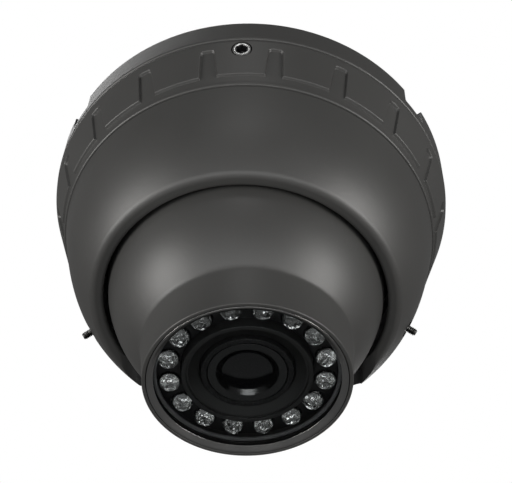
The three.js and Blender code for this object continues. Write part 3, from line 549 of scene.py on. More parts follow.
def lamp_resin():
    """Clear cast resin with faint flow lines."""
    recipe = Recipe("lamp_resin")
    flow = recipe.noise(520.0, 2.0)
    return recipe.principled(
        Base_Color=recipe.mix(flow, (0.97, 0.98, 0.99, 1), (0.90, 0.91, 0.93, 1)),
        Roughness=0.02 + flow * 0.03,
        Transmission_Weight=1.0,
        IOR=1.5,
        Normal=recipe.bump(flow, 0.8, 0.0003),
    )


def circuit_board():
    """Green solder mask over faint copper tracks."""
    recipe = Recipe("board_green")
    tracks = recipe.node("ShaderNodeTexWave", {"bands_direction": "DIAGONAL"}, {
        "Vector": recipe.place(), "Scale": 260.0, "Distortion": 9.0, "Detail": 1.0,
    }).over(0.72, 0.1)
    return recipe.principled(
        Base_Color=recipe.mix(tracks, (0.010, 0.055, 0.026, 1), (0.022, 0.100, 0.048, 1)),
        Roughness=0.36 - tracks * 0.08,
        Normal=recipe.bump(tracks, 0.3, 0.00004),
    )


def moulded(name, colour, roughness):
    """Moulded plastic with a faint grain."""
    recipe = Recipe(name)
    grain = recipe.noise(2600.0, 2.0)
    return recipe.principled(
        Base_Color=recipe.mix(grain, shade(colour, 0.92), shade(colour, 1.08)),
        Roughness=roughness - 0.05 + grain * 0.1,
        Normal=recipe.bump(grain, 0.15, 0.00002),
    )


def stage_surface(tone):
    """A pale matt floor with the faintest unevenness."""
    recipe = Recipe("stage_floor")
    clouds = recipe.noise(3.0, 2.0)
    pale = recipe.mix(clouds, shade(tone, 0.98), shade(tone, 1.02))
    return recipe.principled(Base_Color=pale, Roughness=0.9, Emission_Color=pale, Emission_Strength=0.7)


MATERIALS = {}


def finish_called(name):
    """A finish that the first operator has made."""
    return MATERIALS[name]


# ---- Sizes and colours that a user would change ------------------------------------------------

def length(name, description, millimetres):
    """A length property in metres, from its default in millimetres."""
    return FloatProperty(name=name, description=description, default=millimetres * MM, unit="LENGTH",
                         subtype="DISTANCE", precision=5)


class CasingSizes(bpy.types.PropertyGroup):
    """Sizes of the base, grip ring and shell."""
    rim_wall: length("Rim wall", "Thickness of the base's rim", 3.2)
    plate: length("Plate", "Thickness of the base's plate", 3.2)
    spigot_radius: length("Spigot radius", "Outer radius of the base's spigot", 41.2)
    spigot_wall: length("Spigot wall", "Thickness of the base's spigot", 2.8)
    edge: length("Edge fillet", "Fillet along the casings' edges", 0.6)
    grip_relief: length("Grip relief", "How far the grip's blocks stand out", 0.6)
    grip_band: length("Grip band", "Height of the plain band above the notches", 2.5)
    grip_block: length("Grip block", "Height of the blocks", 7.6)
    grip_ridge: length("Grip ridge", "Height of the ring's lower ridge", 0.7)
    notch_top: length("Notch top", "Width of a notch at its top", 3.0)
    notch_bottom: length("Notch bottom", "Width of a notch at its bottom", 3.9)
    grip_count: IntProperty(name="Grip blocks", description="Blocks round the grip ring", default=19, min=3)
    crest_radius: length("Mouth crest", "Radius of the crest of the shell's rolled mouth", 33.0)
    mouth_radius: length("Mouth radius", "Radius of the shell's mouth", 30.9)


class BallSizes(bpy.types.PropertyGroup):
    """Sizes of the ball and its barrel."""
    radius: length("Ball radius", "Radius of the ball", 30.6)
    wall: length("Ball wall", "Thickness of the ball's wall", 2.4)
    barrel_root: length("Barrel root", "Radius of the barrel where it leaves the ball", 22.3)
    barrel_front: length("Barrel front", "Radius of the barrel at its front", 21.6)
    barrel_length: length("Barrel length", "From the ball's centre to the barrel's front", 30.7)
    bezel_inner: length("Bezel opening", "Radius of the opening in the bezel", 19.3)


class LampSizes(bpy.types.PropertyGroup):
    """Sizes of the lamps."""
    count: IntProperty(name="Lamps", description="Lamps round the lens", default=16, min=1)
    circle: length("Lamp circle", "Radius of the circle that the lamps stand on", 16.5)
    radius: length("Lamp radius", "Radius of a lamp", 2.3)
    turn: FloatProperty(name="Turn", description="How far the lamps are turned about the barrel",
                        default=math.radians(12.3), unit="ROTATION", subtype="ANGLE")


class FinishValues(bpy.types.PropertyGroup):
    """Colours and gloss."""
    paint_colour: FloatVectorProperty(name="Paint", description="Colour of the casings' paint", size=4,
                                      default=(0.030, 0.0298, 0.0288, 1.0), subtype="COLOR", min=0, max=1)
    paint_roughness: FloatProperty(name="Paint roughness", description="Roughness of the casings' paint",
                                   default=0.46, min=0, max=1, subtype="FACTOR")
    paint_specular: FloatProperty(name="Paint gloss", description="Strength of the paint's reflections",
                                  default=0.5, min=0, max=1, subtype="FACTOR")
    paint_grain: FloatProperty(name="Paint grain", description="Grains of the paint's texture in a metre",
                               default=3200.0, min=1)
    window_gloss: FloatProperty(name="Window gloss", description="Refractive index of the window's gloss",
                                default=1.25, min=1, max=3)


class StageValues(bpy.types.PropertyGroup):
    """The studio."""
    fill: FloatProperty(name="Fill", description="Strength of the light from all round", default=0.14, min=0)
    key: FloatProperty(name="Side lights", description="Power of each side light", default=3.6, min=0,
                       unit="POWER")
    front: FloatProperty(name="Front light", description="Power of the wide light in front", default=2.0,
                         min=0, unit="POWER")
    focal: FloatProperty(name="Focal length", description="Focal length of the view", default=91.4, min=1,
                         unit="CAMERA")


class TurretSettings(bpy.types.PropertyGroup):
    """All the camera's settings."""
    casing: PointerProperty(type=CasingSizes)
    ball: PointerProperty(type=BallSizes)
    lamps: PointerProperty(type=LampSizes)
    finish: PointerProperty(type=FinishValues)
    stage: PointerProperty(type=StageValues)


# ---- Operators ---------------------------------------------------------------------------------

class TURRET_OT_finishes(bpy.types.Operator):
    """Make the finishes and give every CAD part its own"""
    bl_idname = "turret.finishes"
    bl_label = "Finishes"

    def execute(self, context):
        finish = context.scene.turret.finish
        MATERIALS.update({
            "body_paint": body_paint(finish),
            "bright_steel": bright_steel(),
            "dark_steel": dark_steel(),
            "bracket_steel": bracket_steel(),
            "black_plastic": black_plastic(),
            "bezel": satin_black("bezel_black", 0.24, 0.2, 0.95),
            "shroud": satin_black("shroud_black", 0.02, 0.4, 0.0, 1.0),
            "lamp_metal": lamp_metal(),
            "gloss_black": gloss_black(),
            "black_rubber": rubber("black_rubber", (0.012, 0.012, 0.012)),
            "grey_rubber": rubber("grey_rubber", (0.22, 0.22, 0.225)),
            "window_glass": window_glass(finish),
            "lens_glass": lens_glass(),
            "lamp_resin": lamp_resin(),
            "lens_metal": lens_metal(),
            "board_green": circuit_board(),
            "chip_black": moulded("chip_black", (0.012, 0.012, 0.013), 0.4),
            "connector_white": moulded("connector_white", (0.72, 0.70, 0.64), 0.5),
        })
        for part in frame["record"]["subparts"]:
            node = frame["nodes"][part["node"]]
            for place in node.material_slots:
                place.material = finish_called(part["material_slot"])
        return {"FINISHED"}


class TURRET_OT_base(bpy.types.Operator):
    """Build the base plate with its rim, spigot, notches and holes, and the cable bush"""
    bl_idname = "turret.base"
    bl_label = "Base"

    def execute(self, context):
        sizes = context.scene.turret.casing
        rim = reach("base_plate")
        rim_low = high("grip_ring") + 0.5 * MM
        spigot_low = low("base_plate")
        spigot_bore = sizes.spigot_radius - sizes.spigot_wall
        rim_bore, plate_low = rim - sizes.rim_wall, -sizes.plate
        corners = [
            (0, 0), (rim, 0), (rim, rim_low), (rim_bore, rim_low), (rim_bore, plate_low),
            (sizes.spigot_radius, plate_low), (sizes.spigot_radius, spigot_low), (spigot_bore, spigot_low),
            (spigot_bore, plate_low), (0, plate_low),
        ]
        outline = opened(rounded(corners, [0.3 * MM] + [0.35 * MM, sizes.edge] + [0.25 * MM] * 7))
        body = turned("base_casing", outline, 240, wrap=False)
        notches = [self.notch(rim, side * 56.0) for side in (-1, 1)]
        through = plate_low - 1 * MM
        fixings = [self.upright(2.2 * MM, 33 * MM, azimuth, through, 1 * MM) for azimuth in (60, 180, 300)]
        screws = ("main_board_screw_1", "main_board_screw_2", "main_board_screw_3")
        board_top = high("main_board")
        standoffs = [self.standoff(name, 2.6 * MM, board_top + 0.3 * MM, -1 * MM) for name in screws]
        holes = [self.standoff(name, 1.25 * MM, board_top, -1 * MM) for name in screws]
        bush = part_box("cable_bush")
        hole = (bush[0] + bush[1]) / 2
        cable = rod(8 * MM, through, 1 * MM, 96, shifted(hole.x, hole.y))
        combined(body, standoffs, [*notches, *fixings, *holes, cable])
        settled(body, "base", "body_paint", finish_called("body_paint"), "base_plate")

        flange = (bush[1].x - bush[0].x) / 2
        bottom, top = bush[0].z, bush[1].z
        collar = rounded([
            (4.6 * MM, top), (7.7 * MM, top), (7.7 * MM, bottom + 1.3 * MM), (flange, bottom + 1.3 * MM),
            (flange, bottom), (4.6 * MM, bottom),
        ], 0.3 * MM)
        ring = turned("cable_collar", collar, 96, placed=shifted(hole.x, hole.y))
        settled(ring, "base", "black_rubber", finish_called("black_rubber"), "cable_bush")
        return {"FINISHED"}

    @staticmethod
    def upright(radius, circle, azimuth, start, end):
        """A pin along Z on a circle about the axis."""
        offset = along(azimuth) @ np.array([0, -circle, 0])
        return rod(radius, start, end, 40, lambda points: points + offset)

    @staticmethod
    def standoff(node, radius, start, end):
        """A pin along Z on a screw's axis."""
        corner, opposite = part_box(node)
        middle = (corner + opposite) / 2
        return rod(radius, start, end, 40, shifted(middle.x, middle.y))

    @staticmethod
    def notch(rim, azimuth):
        """A block with rounded corners that is cut out of the rim under the ceiling: a ring of the
        block's outline, squared off by a high power of sine and cosine, carried inwards."""
        angle = np.linspace(0, 2 * np.pi, 64, endpoint=False)
        across = 3.65 * MM * np.sign(np.cos(angle)) * np.abs(np.cos(angle)) ** 0.16
        up = 2.85 * MM * np.sign(np.sin(angle)) * np.abs(np.sin(angle)) ** 0.16 - 2.45 * MM
        deep = np.array([-rim - 1 * MM, -rim + 4 * MM])[:, None]
        grid = np.stack([across + 0 * deep, deep + 0 * across, up + 0 * deep], axis=-1)
        turn = along(azimuth)
        return rings("tool", grid, placed=lambda points: points @ turn.T)


class TURRET_OT_grip_ring(bpy.types.Operator):
    """Build the grip ring, with its blocks and notches, and its lock screw"""
    bl_idname = "turret.grip_ring"
    bl_label = "Grip ring"

    def execute(self, context):
        sizes = context.scene.turret.casing
        top, bottom = high("grip_ring"), low("grip_ring")
        wide = reach("base_plate")
        narrow = 42.6 * MM
        slope = (wide - narrow) / (top - bottom)
        outside = self.heights(sizes, top, bottom)
        inner = rounded([
            (narrow, bottom), (39.9 * MM, bottom), (39.9 * MM, bottom + 3 * MM), (41.6 * MM, bottom + 3 * MM),
            (41.6 * MM, top), (wide, top),
        ], 0.2 * MM, 2)
        inner = opened(inner, 2)
        columns = self.columns()
        pitch = np.pi / sizes.grip_count
        cone = wide - (top - outside) * slope
        half = self.notch_half(sizes, outside, top)
        fixed, per_half, per_pitch = columns
        x = half[:, None] * per_half + fixed + (cone * pitch)[:, None] * per_pitch
        angle_one = x / cone[:, None]
        depth = self.recess(sizes, x, outside[:, None], half[:, None], top, bottom)
        both = np.concatenate([-angle_one[:, :0:-1], angle_one], axis=1)[:, :-1]
        depth = np.concatenate([depth[:, :0:-1], depth], axis=1)[:, :-1]
        starts = (2 * np.arange(sizes.grip_count) + 1) * pitch
        angle = (starts[:, None] + both[:, None, :]).reshape(len(outside), -1)
        depth = np.tile(depth, (1, sizes.grip_count))
        edge_top = np.clip((sizes.edge - (top - outside)) / sizes.edge, 0, 1)
        edge_low = np.clip((0.3 * MM - (outside - bottom)) / (0.3 * MM), 0, 1)
        fall = sizes.edge * (1 - np.sqrt(1 - edge_top ** 2)) + 0.3 * MM * (1 - np.sqrt(1 - edge_low ** 2))
        radius = cone[:, None] - fall[:, None] - depth
        outer_grid = swept(radius, angle, outside[:, None])
        inner_grid = swept(inner[:, :1], angle[len(outside) // 2], inner[:, 1:])
        ring = rings("grip_ring_casing", np.concatenate([outer_grid, inner_grid]), wrap=True, smooth_angle=60)

        joint = JOINTS["cover_lock_screw_turn"]
        out = np.array(joint["axis"], float)
        place = np.array(joint["pos_m"], float)
        put = pointing(out, place)
        hole = rod(2.32 * MM, -6 * MM, 3 * MM, 48, put)
        combined(ring, (), [hole])
        settled(ring, "grip_ring", "body_paint", finish_called("body_paint"), "grip_ring")

        screw = socket_screw("cover_set_screw", 2.1 * MM, 3.4 * MM, 2.6 * MM, 2.2 * MM, 0.42 * MM, put)
        settled(screw, "cover_lock_screw", "bright_steel", finish_called("bright_steel"), "cover_lock_screw")
        # Painted shade: a gloss-black cup inside the screw's socket stands in for the shadow in its hollow.
        socket_shade = painted_socket_shade("cover_screw_socket_shade", 2.6 * MM, 2.2 * MM, put)
        settled(socket_shade, "cover_lock_screw", "bright_steel", finish_called("gloss_black"))
        return {"FINISHED"}

    @staticmethod
    def heights(sizes, top, bottom):
        """Heights of the grid's rows, close together where the relief begins and ends."""
        near = np.array([-0.5, -0.3, -0.2, -0.12, -0.05, 0.02, 0.09, 0.17, 0.28, 0.5]) * MM
        notch_top = top - sizes.grip_band
        block_low = notch_top - sizes.grip_block
        ridge = bottom + sizes.grip_ridge
        bevel_top = top - sizes.edge * (1 - np.cos(np.linspace(0, np.pi / 2, 6)))
        bevel_low = bottom + 0.3 * MM * (1 - np.cos(np.linspace(0, np.pi / 2, 5)))
        rows = [
            bevel_top, notch_top + near, np.linspace(notch_top - 0.8 * MM, block_low + 0.8 * MM, 12),
            block_low + near, [(block_low + ridge) / 2], ridge + near[2:-2], bevel_low,
            np.linspace(top - sizes.edge, notch_top + 0.5 * MM, 5)[1:-1],
        ]
        return np.unique(np.round(np.concatenate([np.asarray(row) for row in rows]), 8))[::-1]

    @staticmethod
    def columns():
        """Columns from a notch's middle to a block's middle: a fixed offset, a share of the notch's half
        width and a share of the half pitch."""
        inside = np.linspace(0, 1, 4)[:-1]
        near = np.array([-0.5, -0.3, -0.2, -0.12, -0.05, 0.02, 0.09, 0.17, 0.28, 0.5]) * MM
        block = np.linspace(0, 1, 9)[1:]
        fixed = np.concatenate([-0.5 * MM * inside, near, 0.5 * MM * (1 - block)])
        share = np.concatenate([inside, np.ones(len(near)), 1 - block])
        pitch = np.concatenate([0 * inside, 0 * near, block])
        return fixed, share, pitch

    @staticmethod
    def notch_half(sizes, height, top):
        """Half of a notch's width at each height, from its top width to its bottom width."""
        down = np.clip((top - sizes.grip_band - height) / sizes.grip_block, 0, 1)
        return (sizes.notch_top + (sizes.notch_bottom - sizes.notch_top) * down) / 2

    @staticmethod
    def recess(sizes, x, height, half, top, bottom):
        """How deep the surface lies: the relief times a smooth step of the distance to the edge of the
        notches joined with the low band. A notch's upper corners are rounded."""
        corner = 0.7 * MM
        soft = 0.26 * MM
        notch_top = top - sizes.grip_band
        block_low = notch_top - sizes.grip_block
        ridge = bottom + sizes.grip_ridge
        aside = np.abs(x) - half + corner
        above = height - notch_top + corner
        outer = np.hypot(np.maximum(aside, 0), np.maximum(above, 0))
        notch = outer + np.minimum(np.maximum(aside, above), 0) - corner
        band = height - block_low + 0 * x
        area = np.minimum(notch, band)
        area = np.maximum(area, ridge - height)
        t = np.clip(0.5 - area / soft, 0, 1)
        return sizes.grip_relief * t * t * (3 - 2 * t)


def socket_screw(name, radius, length_in, across, depth, bevel, placed, columns=72):
    """A set screw along Z with its outer end at 0: rings that go from the shank's circle over the
    bevel to the socket's hexagon, down it and across its floor."""
    angle = np.linspace(0, 2 * np.pi, columns, endpoint=False)
    circle = np.ones(columns)
    hexagon = hexagonal(angle, across)
    floor = -depth
    levels = [
        (radius * 0.84 * circle, -length_in), (radius * circle, -length_in + 0.3 * MM),
        (radius * circle, -bevel - 0.05 * MM),
        (radius * circle, -bevel), ((radius - bevel * 0.3) * circle, -bevel * 0.3),
        ((radius - bevel) * circle, 0.0), ((radius - bevel - 0.05 * MM) * circle, 0.0),
        (hexagon + 0.09 * MM, 0.0), (hexagon + 0.03 * MM, -0.03 * MM), (hexagon, -0.1 * MM),
        (hexagon, floor + 0.05 * MM), (hexagon - 0.05 * MM, floor), (0.3 * hexagon, floor - 0.12 * MM),
    ]
    return rings(name, around(angle, levels), placed=placed)


def painted_socket_shade(name, across, depth, placed):
    """The painted shade in a hexagonal socket: a thin black cup, 0.1 mm thick, that follows the hexagon and stands
    in for the shadow inside it.
    """
    angle = np.linspace(0, 2 * np.pi, 72, endpoint=False)
    outer = hexagonal(angle, across) - 0.01 * MM
    inner = outer - 0.1 * MM
    levels = [
        (0.3 * outer, 0.04 * MM - depth), (outer - 0.06 * MM, 0.08 * MM - depth),
        (outer, 0.14 * MM - depth), (outer, -0.14 * MM), (inner, -0.14 * MM),
        (inner, 0.24 * MM - depth), (0.3 * inner, 0.14 * MM - depth),
    ]
    return rings(name, around(angle, levels), placed=placed)


class TURRET_OT_shell(bpy.types.Operator):
    """Build the shell with its rolled mouth and spot faces, and its two set screws"""
    bl_idname = "turret.shell"
    bl_label = "Shell"

    def execute(self, context):
        sizes = context.scene.turret.casing
        top = low("grip_ring") - 0.3 * MM
        flange_low = top + 3.6 * MM
        flange_top = high("dome_shell")
        lowest = low("dome_shell")
        wide = reach("dome_shell")
        crest = sizes.crest_radius
        t = np.linspace(0, 1, 40)[:, None]
        pull = [
            (wide, top), (wide - 1.6 * MM, 0.62 * top + 0.38 * lowest),
            (crest + 6.2 * MM, 0.32 * top + 0.68 * lowest), (crest + 0.9 * MM, lowest + 0.45 * MM),
        ]
        p = [np.array(point) for point in pull]
        s = 1 - t
        outside = s ** 3 * p[0] + 3 * t * s ** 2 * p[1] + 3 * t ** 2 * s * p[2] + t ** 3 * p[3]
        mouth = sizes.mouth_radius
        roll = rounded([
            tuple(outside[-1]), (crest - 0.1 * MM, lowest - 0.02 * MM), (mouth, lowest + 0.05 * MM),
            (mouth + 0.15 * MM, lowest + 2.4 * MM), (34.8 * MM, -37.7 * MM), (35.6 * MM, -35 * MM),
            (35.6 * MM, -31 * MM), (37.4 * MM, -31 * MM), (37.4 * MM, -26.5 * MM), (38.4 * MM, -26.5 * MM),
            (38.4 * MM, -24.9 * MM), (37.4 * MM, -24.9 * MM), (37.4 * MM, flange_top), (41.2 * MM, flange_top),
            (41.2 * MM, flange_low), (39.6 * MM, flange_low), (39.6 * MM, top), (wide, top),
        ], [0, 0.8 * MM, 0.9 * MM] + [0.8 * MM] * 3 + [0.2 * MM] * 12)
        roll = opened(roll)
        body = turned("shell_casing", np.concatenate([outside, roll]), 240)
        screws = {side: JOINTS[f"shell_screw_{side}_turn"] for side in ("left", "right")}
        cutters = []
        for joint in screws.values():
            put = pointing(joint["axis"], joint["pos_m"])
            cutters.append(rod(1.2 * MM, -6 * MM, 3 * MM, 40, put))
            cutters.append(self.spot_face(put))
        combined(body, (), [self.slot(lowest, wide), *cutters])
        settled(body, "base", "body_paint", finish_called("body_paint"), "dome_shell")
        for side, joint in screws.items():
            piece = self.threaded(f"shell_set_screw_{side}", pointing(joint["axis"], joint["pos_m"]))
            node = f"shell_screw_{side}"
            settled(piece, node, "bright_steel", finish_called("dark_steel"), node)
        return {"FINISHED"}

    @staticmethod
    def slot(lowest, wide):
        """A prism towards +Y with two round upper corners, whose sides flare in an arc where they meet
        the mouth."""
        half, top, corner, flare = 25.5 * MM, -33.5 * MM, 5 * MM, 4 * MM
        shoulder = arc(corner, 90, 0, 12, top - corner) + np.array([half - corner, 0])
        hip = arc(flare, 180, 270, 12, lowest + flare) + np.array([half + flare, 0])
        side = np.concatenate([shoulder, hip, [[half + flare, lowest - 2 * MM]]])
        outline = np.concatenate([side, side[::-1] * np.array([-1, 1])])
        deep = np.array([1 * MM, wide + 1 * MM])[:, None]
        across, up = outline[:, 0], outline[:, 1]
        return rings("tool", np.stack([across + 0 * deep, deep + 0 * across, up + 0 * deep], axis=-1))

    @staticmethod
    def spot_face(put):
        """A pin with a widened outer end, which leaves a bevelled round pocket."""
        outline = rounded(from_front(0, [(0, -0.9), (2.2, -0.9), (2.3, 0.3), (2.9, 3), (0, 3)]), 0.25 * MM)
        return turned("tool", opened(outline), 56, wrap=False, placed=put)

    @staticmethod
    def threaded(name, put):
        """A set screw whose radius rises and falls once a turn along its length, r0 + h |saw(z / pitch -
        angle)|, with a hexagonal socket in its outer end."""
        columns = 40
        angle = np.linspace(0, 2 * np.pi, columns, endpoint=False)
        height = np.linspace(-3.6, 1.85, 96)[:, None] * MM
        pitch = 0.4 * MM
        phase = (height / pitch - angle / (2 * np.pi)) % 1.0
        ridge = np.abs(2 * phase - 1)
        fade = np.clip(np.minimum(height + 3.6 * MM, 1.85 * MM - height) / (0.3 * MM), 0, 1)
        radius = 0.68 * MM + 0.2 * MM * ridge * fade
        shank = np.stack([radius * np.cos(angle), radius * np.sin(angle), height + 0 * angle], axis=-1)
        hexagon = hexagonal(angle, 0.9 * MM)
        ends = [(0.6 * MM + 0 * angle, 2.0 * MM), (hexagon + 0.03 * MM, 2.0 * MM), (hexagon, 1.93 * MM),
                (hexagon, 1.15 * MM), (0.4 * hexagon, 1.05 * MM)]
        tip = around(angle, [(0.5 * MM, -3.6 * MM)])
        return rings(name, np.concatenate([tip, shank, around(angle, ends)]), placed=put)


class TURRET_OT_ball(bpy.types.Operator):
    """Build the ball with its barrel, the bezel, the window and its gasket"""
    bl_idname = "turret.ball"
    bl_label = "Ball"

    def execute(self, context):
        sizes = context.scene.turret.ball
        radius, root, front_radius = sizes.radius, sizes.barrel_root, sizes.barrel_front
        front = -sizes.barrel_length
        root_height = -math.sqrt(radius ** 2 - root ** 2)
        latitude = math.degrees(math.asin(root_height / radius))
        inside = radius - sizes.wall
        seat = front_radius - 0.8 * MM
        seat_back = front + 2.3 * MM
        bore = 19.8 * MM
        ledge = -6 * MM
        ledge_radius = 22.4 * MM
        ledge_latitude = math.degrees(math.asin(ledge / inside))
        sphere = arc(radius, 32, latitude + 0.8, 56)
        fillet = np.array([root, root_height]) + np.array([[0.12, -0.05], [-0.01, -0.5]]) * MM
        corners = rounded([
            (root - 0.02 * MM, root_height - 1 * MM), (front_radius, front), (seat + 0.05 * MM, front),
            (seat, seat_back), (bore, seat_back), (bore, root_height + 1 * MM),
            (ledge_radius, ledge - 2 * MM), (ledge_radius, ledge), (math.sqrt(inside ** 2 - ledge ** 2), ledge),
        ], [0, 0.42 * MM] + [0.12 * MM] * 6 + [0])
        inner = arc(inside, ledge_latitude, 32, 30)
        outline = np.concatenate([sphere, fillet, opened(corners), inner])
        body = turned("ball_casing", outline, 240, placed=aimed)
        to_side = pointing((1, 0, 0), (0, 0, 0))
        pin = rod(1.3 * MM, -32 * MM, 32 * MM, 40, lambda points: aimed(to_side(points)))
        holes = [self.screw_hole(f"sensor_board_screw_{i}", ledge) for i in (1, 2, 3)]
        combined(body, (), [pin, *holes])
        settled(body, "ball", "body_paint", finish_called("body_paint"), "ball_housing")

        opening = sizes.bezel_inner
        bezel = turned("barrel_bezel", rounded([
            (opening, front + 0.9 * MM), (opening, front + 0.84 * MM), (seat - 0.5 * MM, front + 0.04 * MM),
            (seat - 0.12 * MM, front + 0.03 * MM), (seat - 0.12 * MM, front + 0.9 * MM),
        ], 0.12 * MM), 192, placed=aimed)
        settled(bezel, "ball", "black_plastic", finish_called("bezel"), "front_bezel")
        pane = turned("window_pane", opened(rounded([
            (0, front + 1.2 * MM), (seat - 0.3 * MM, front + 1.2 * MM), (seat - 0.3 * MM, front + 2.0 * MM),
            (0, front + 2.0 * MM),
        ], 0.12 * MM)), 128, wrap=False, placed=aimed)
        settled(pane, "ball", "window_glass", finish_called("window_glass"), "window")
        seal = from_front(front, [(18.65, 2.3), (19.5, 2.3), (19.5, 2.9), (18.65, 2.9)])
        gasket = turned("window_seal", rounded(seal, 0.25 * MM), 160, placed=aimed)
        settled(gasket, "ball", "grey_rubber", finish_called("grey_rubber"), "window_gasket")
        return {"FINISHED"}

    @staticmethod
    def screw_hole(node, ledge):
        """A pin along the barrel on a screw's axis, ahead of the ledge."""
        corner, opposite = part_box(node)
        middle = (np.array(corner) + np.array(opposite)) / 2
        local = (middle - np.array(JOINTS["tilt"]["pos_m"], float)) @ aim().T
        return rod(1.25 * MM, ledge - 4.6 * MM, ledge + 2 * MM, 32,
                   lambda points: aimed(points + np.array([local[0], local[1], 0])))


class TURRET_OT_lamps(bpy.types.Operator):
    """Build the clear lamps with their reflector cups, and the plate that holds them"""
    bl_idname = "turret.lamps"
    bl_label = "Lamps"

    def execute(self, context):
        sizes = context.scene.turret.lamps
        front = -context.scene.turret.ball.barrel_length
        tip = front + 2.3 * MM
        back = tip + 7.4 * MM
        azimuths = np.arange(sizes.count) * 360 / sizes.count + 180 / sizes.count + math.degrees(sizes.turn)
        nose = arc(sizes.radius, -90, 0, 14, tip + sizes.radius)[1:]
        flank = np.array([[sizes.radius, tip + sizes.radius + 1.5 * MM], [sizes.radius, back - 0.1 * MM],
                          [sizes.radius - 0.1 * MM, back]])
        outline = np.concatenate([nose, flank])
        for number, azimuth in enumerate(azimuths, 1):
            put = self.at(azimuth, sizes.circle)
            lamp = turned(f"clear_lamp_{number}", outline, 40, wrap=False, placed=put)
            settled(lamp, "ball", "lamp_resin", finish_called("lamp_resin"), f"infrared_lamp_{number}")
            cup = turned(f"lamp_reflector_{number}", self.reflector(tip), 28, placed=put)
            settled(cup, "ball", "bright_steel", finish_called("lamp_metal"))
        section = from_front(front, [(13.8, 4.6), (19.5, 4.6), (19.5, 6.2), (13.8, 6.2)])
        plate = turned("lamp_mount", rounded(section, 0.15 * MM), 160, placed=aimed)
        start, end = front + 3 * MM, front + 8 * MM
        holes = [rod(2.5 * MM, start, end, 40, self.at(a, sizes.circle)) for a in azimuths]
        combined(plate, (), holes)
        settled(plate, "ball", "black_plastic", finish_called("black_plastic"), "lamp_plate")
        return {"FINISHED"}

    @staticmethod
    def at(azimuth, circle):
        """A function that moves points to a place on a circle about the barrel, and aims them."""
        offset = along(azimuth) @ np.array([0, -circle, 0])
        turn = along(azimuth)
        return lambda points: aimed(points @ turn.T + offset)

    @staticmethod
    def reflector(tip):
        """The outline of the metal cup inside a lamp: a cone that opens towards the tip, on a post."""
        return rounded(from_front(tip, [
            (0.25, 3.5), (0.75, 3.35), (1.35, 2.3), (1.75, 2.3), (1.75, 3.9), (0.8, 4.6), (0.8, 7.2), (0.25, 7.2),
        ]), 0.08 * MM, 2)


class TURRET_OT_lens(bpy.types.Operator):
    """Build the shroud, the lens barrel, its front glass and face ring"""
    bl_idname = "turret.lens"
    bl_label = "Lens"

    def execute(self, context):
        front = -context.scene.turret.ball.barrel_length
        edge = front + 2.3 * MM
        section = from_front(edge, [
            (12.6, 0), (13.6, 0), (13.6, 9.4), (10, 9.4), (10, 1.6), (10.25, 1.45), (12.2, 0.5), (12.6, 0.5),
        ])
        fillets = np.array([0.14, 0.16, 0.2, 0.2, 0.08, 0.08, 0.1, 0.08]) * MM
        shroud = turned("lens_surround", rounded(section, fillets), 192, placed=aimed)
        settled(shroud, "ball", "black_plastic", finish_called("shroud"), "lens_shroud")

        face = front + 2.9 * MM
        section = from_front(face, [
            (5.5, 1.4), (8.4, 1.4), (8.4, 0), (9.6, 0), (9.6, 7.5), (6, 7.5), (6, 16.1), (4.4, 16.1),
            (4.4, 3.4), (5.5, 3.4),
        ])
        fillets = np.array([0.08, 0.08, 0.2, 0.25] + [0.15] * 6) * MM
        barrel = turned("lens_tube", rounded(section, fillets), 160, placed=aimed)
        settled(barrel, "lens", "lens_metal", finish_called("lens_metal"), "lens_barrel")
        section = from_front(face, [(5.4, 1.38), (5.4, 1.2), (6.5, 0.18), (8.2, 0.12), (8.2, 1.38)])
        ring = turned("lens_face_trim", rounded(section, 0.08 * MM), 160, placed=aimed)
        settled(ring, "lens", "lens_metal", finish_called("gloss_black"), "lens_face_ring")
        bulge, rim = 0.7 * MM, 5.2 * MM
        sphere = (rim ** 2 + bulge ** 2) / (2 * bulge)
        end_angle = -math.degrees(math.acos(rim / sphere))
        dome = arc(sphere, -90, end_angle, 24, face + sphere)[1:]
        rear = from_front(face, [(5.2, 0.75), (5.2, 3.0), (5.1, 3.1)])
        glass = turned("lens_dome", np.concatenate([dome, rear]), 128, wrap=False, placed=aimed)
        settled(glass, "lens", "lens_glass", finish_called("lens_glass"), "lens_front_glass")
        return {"FINISHED"}


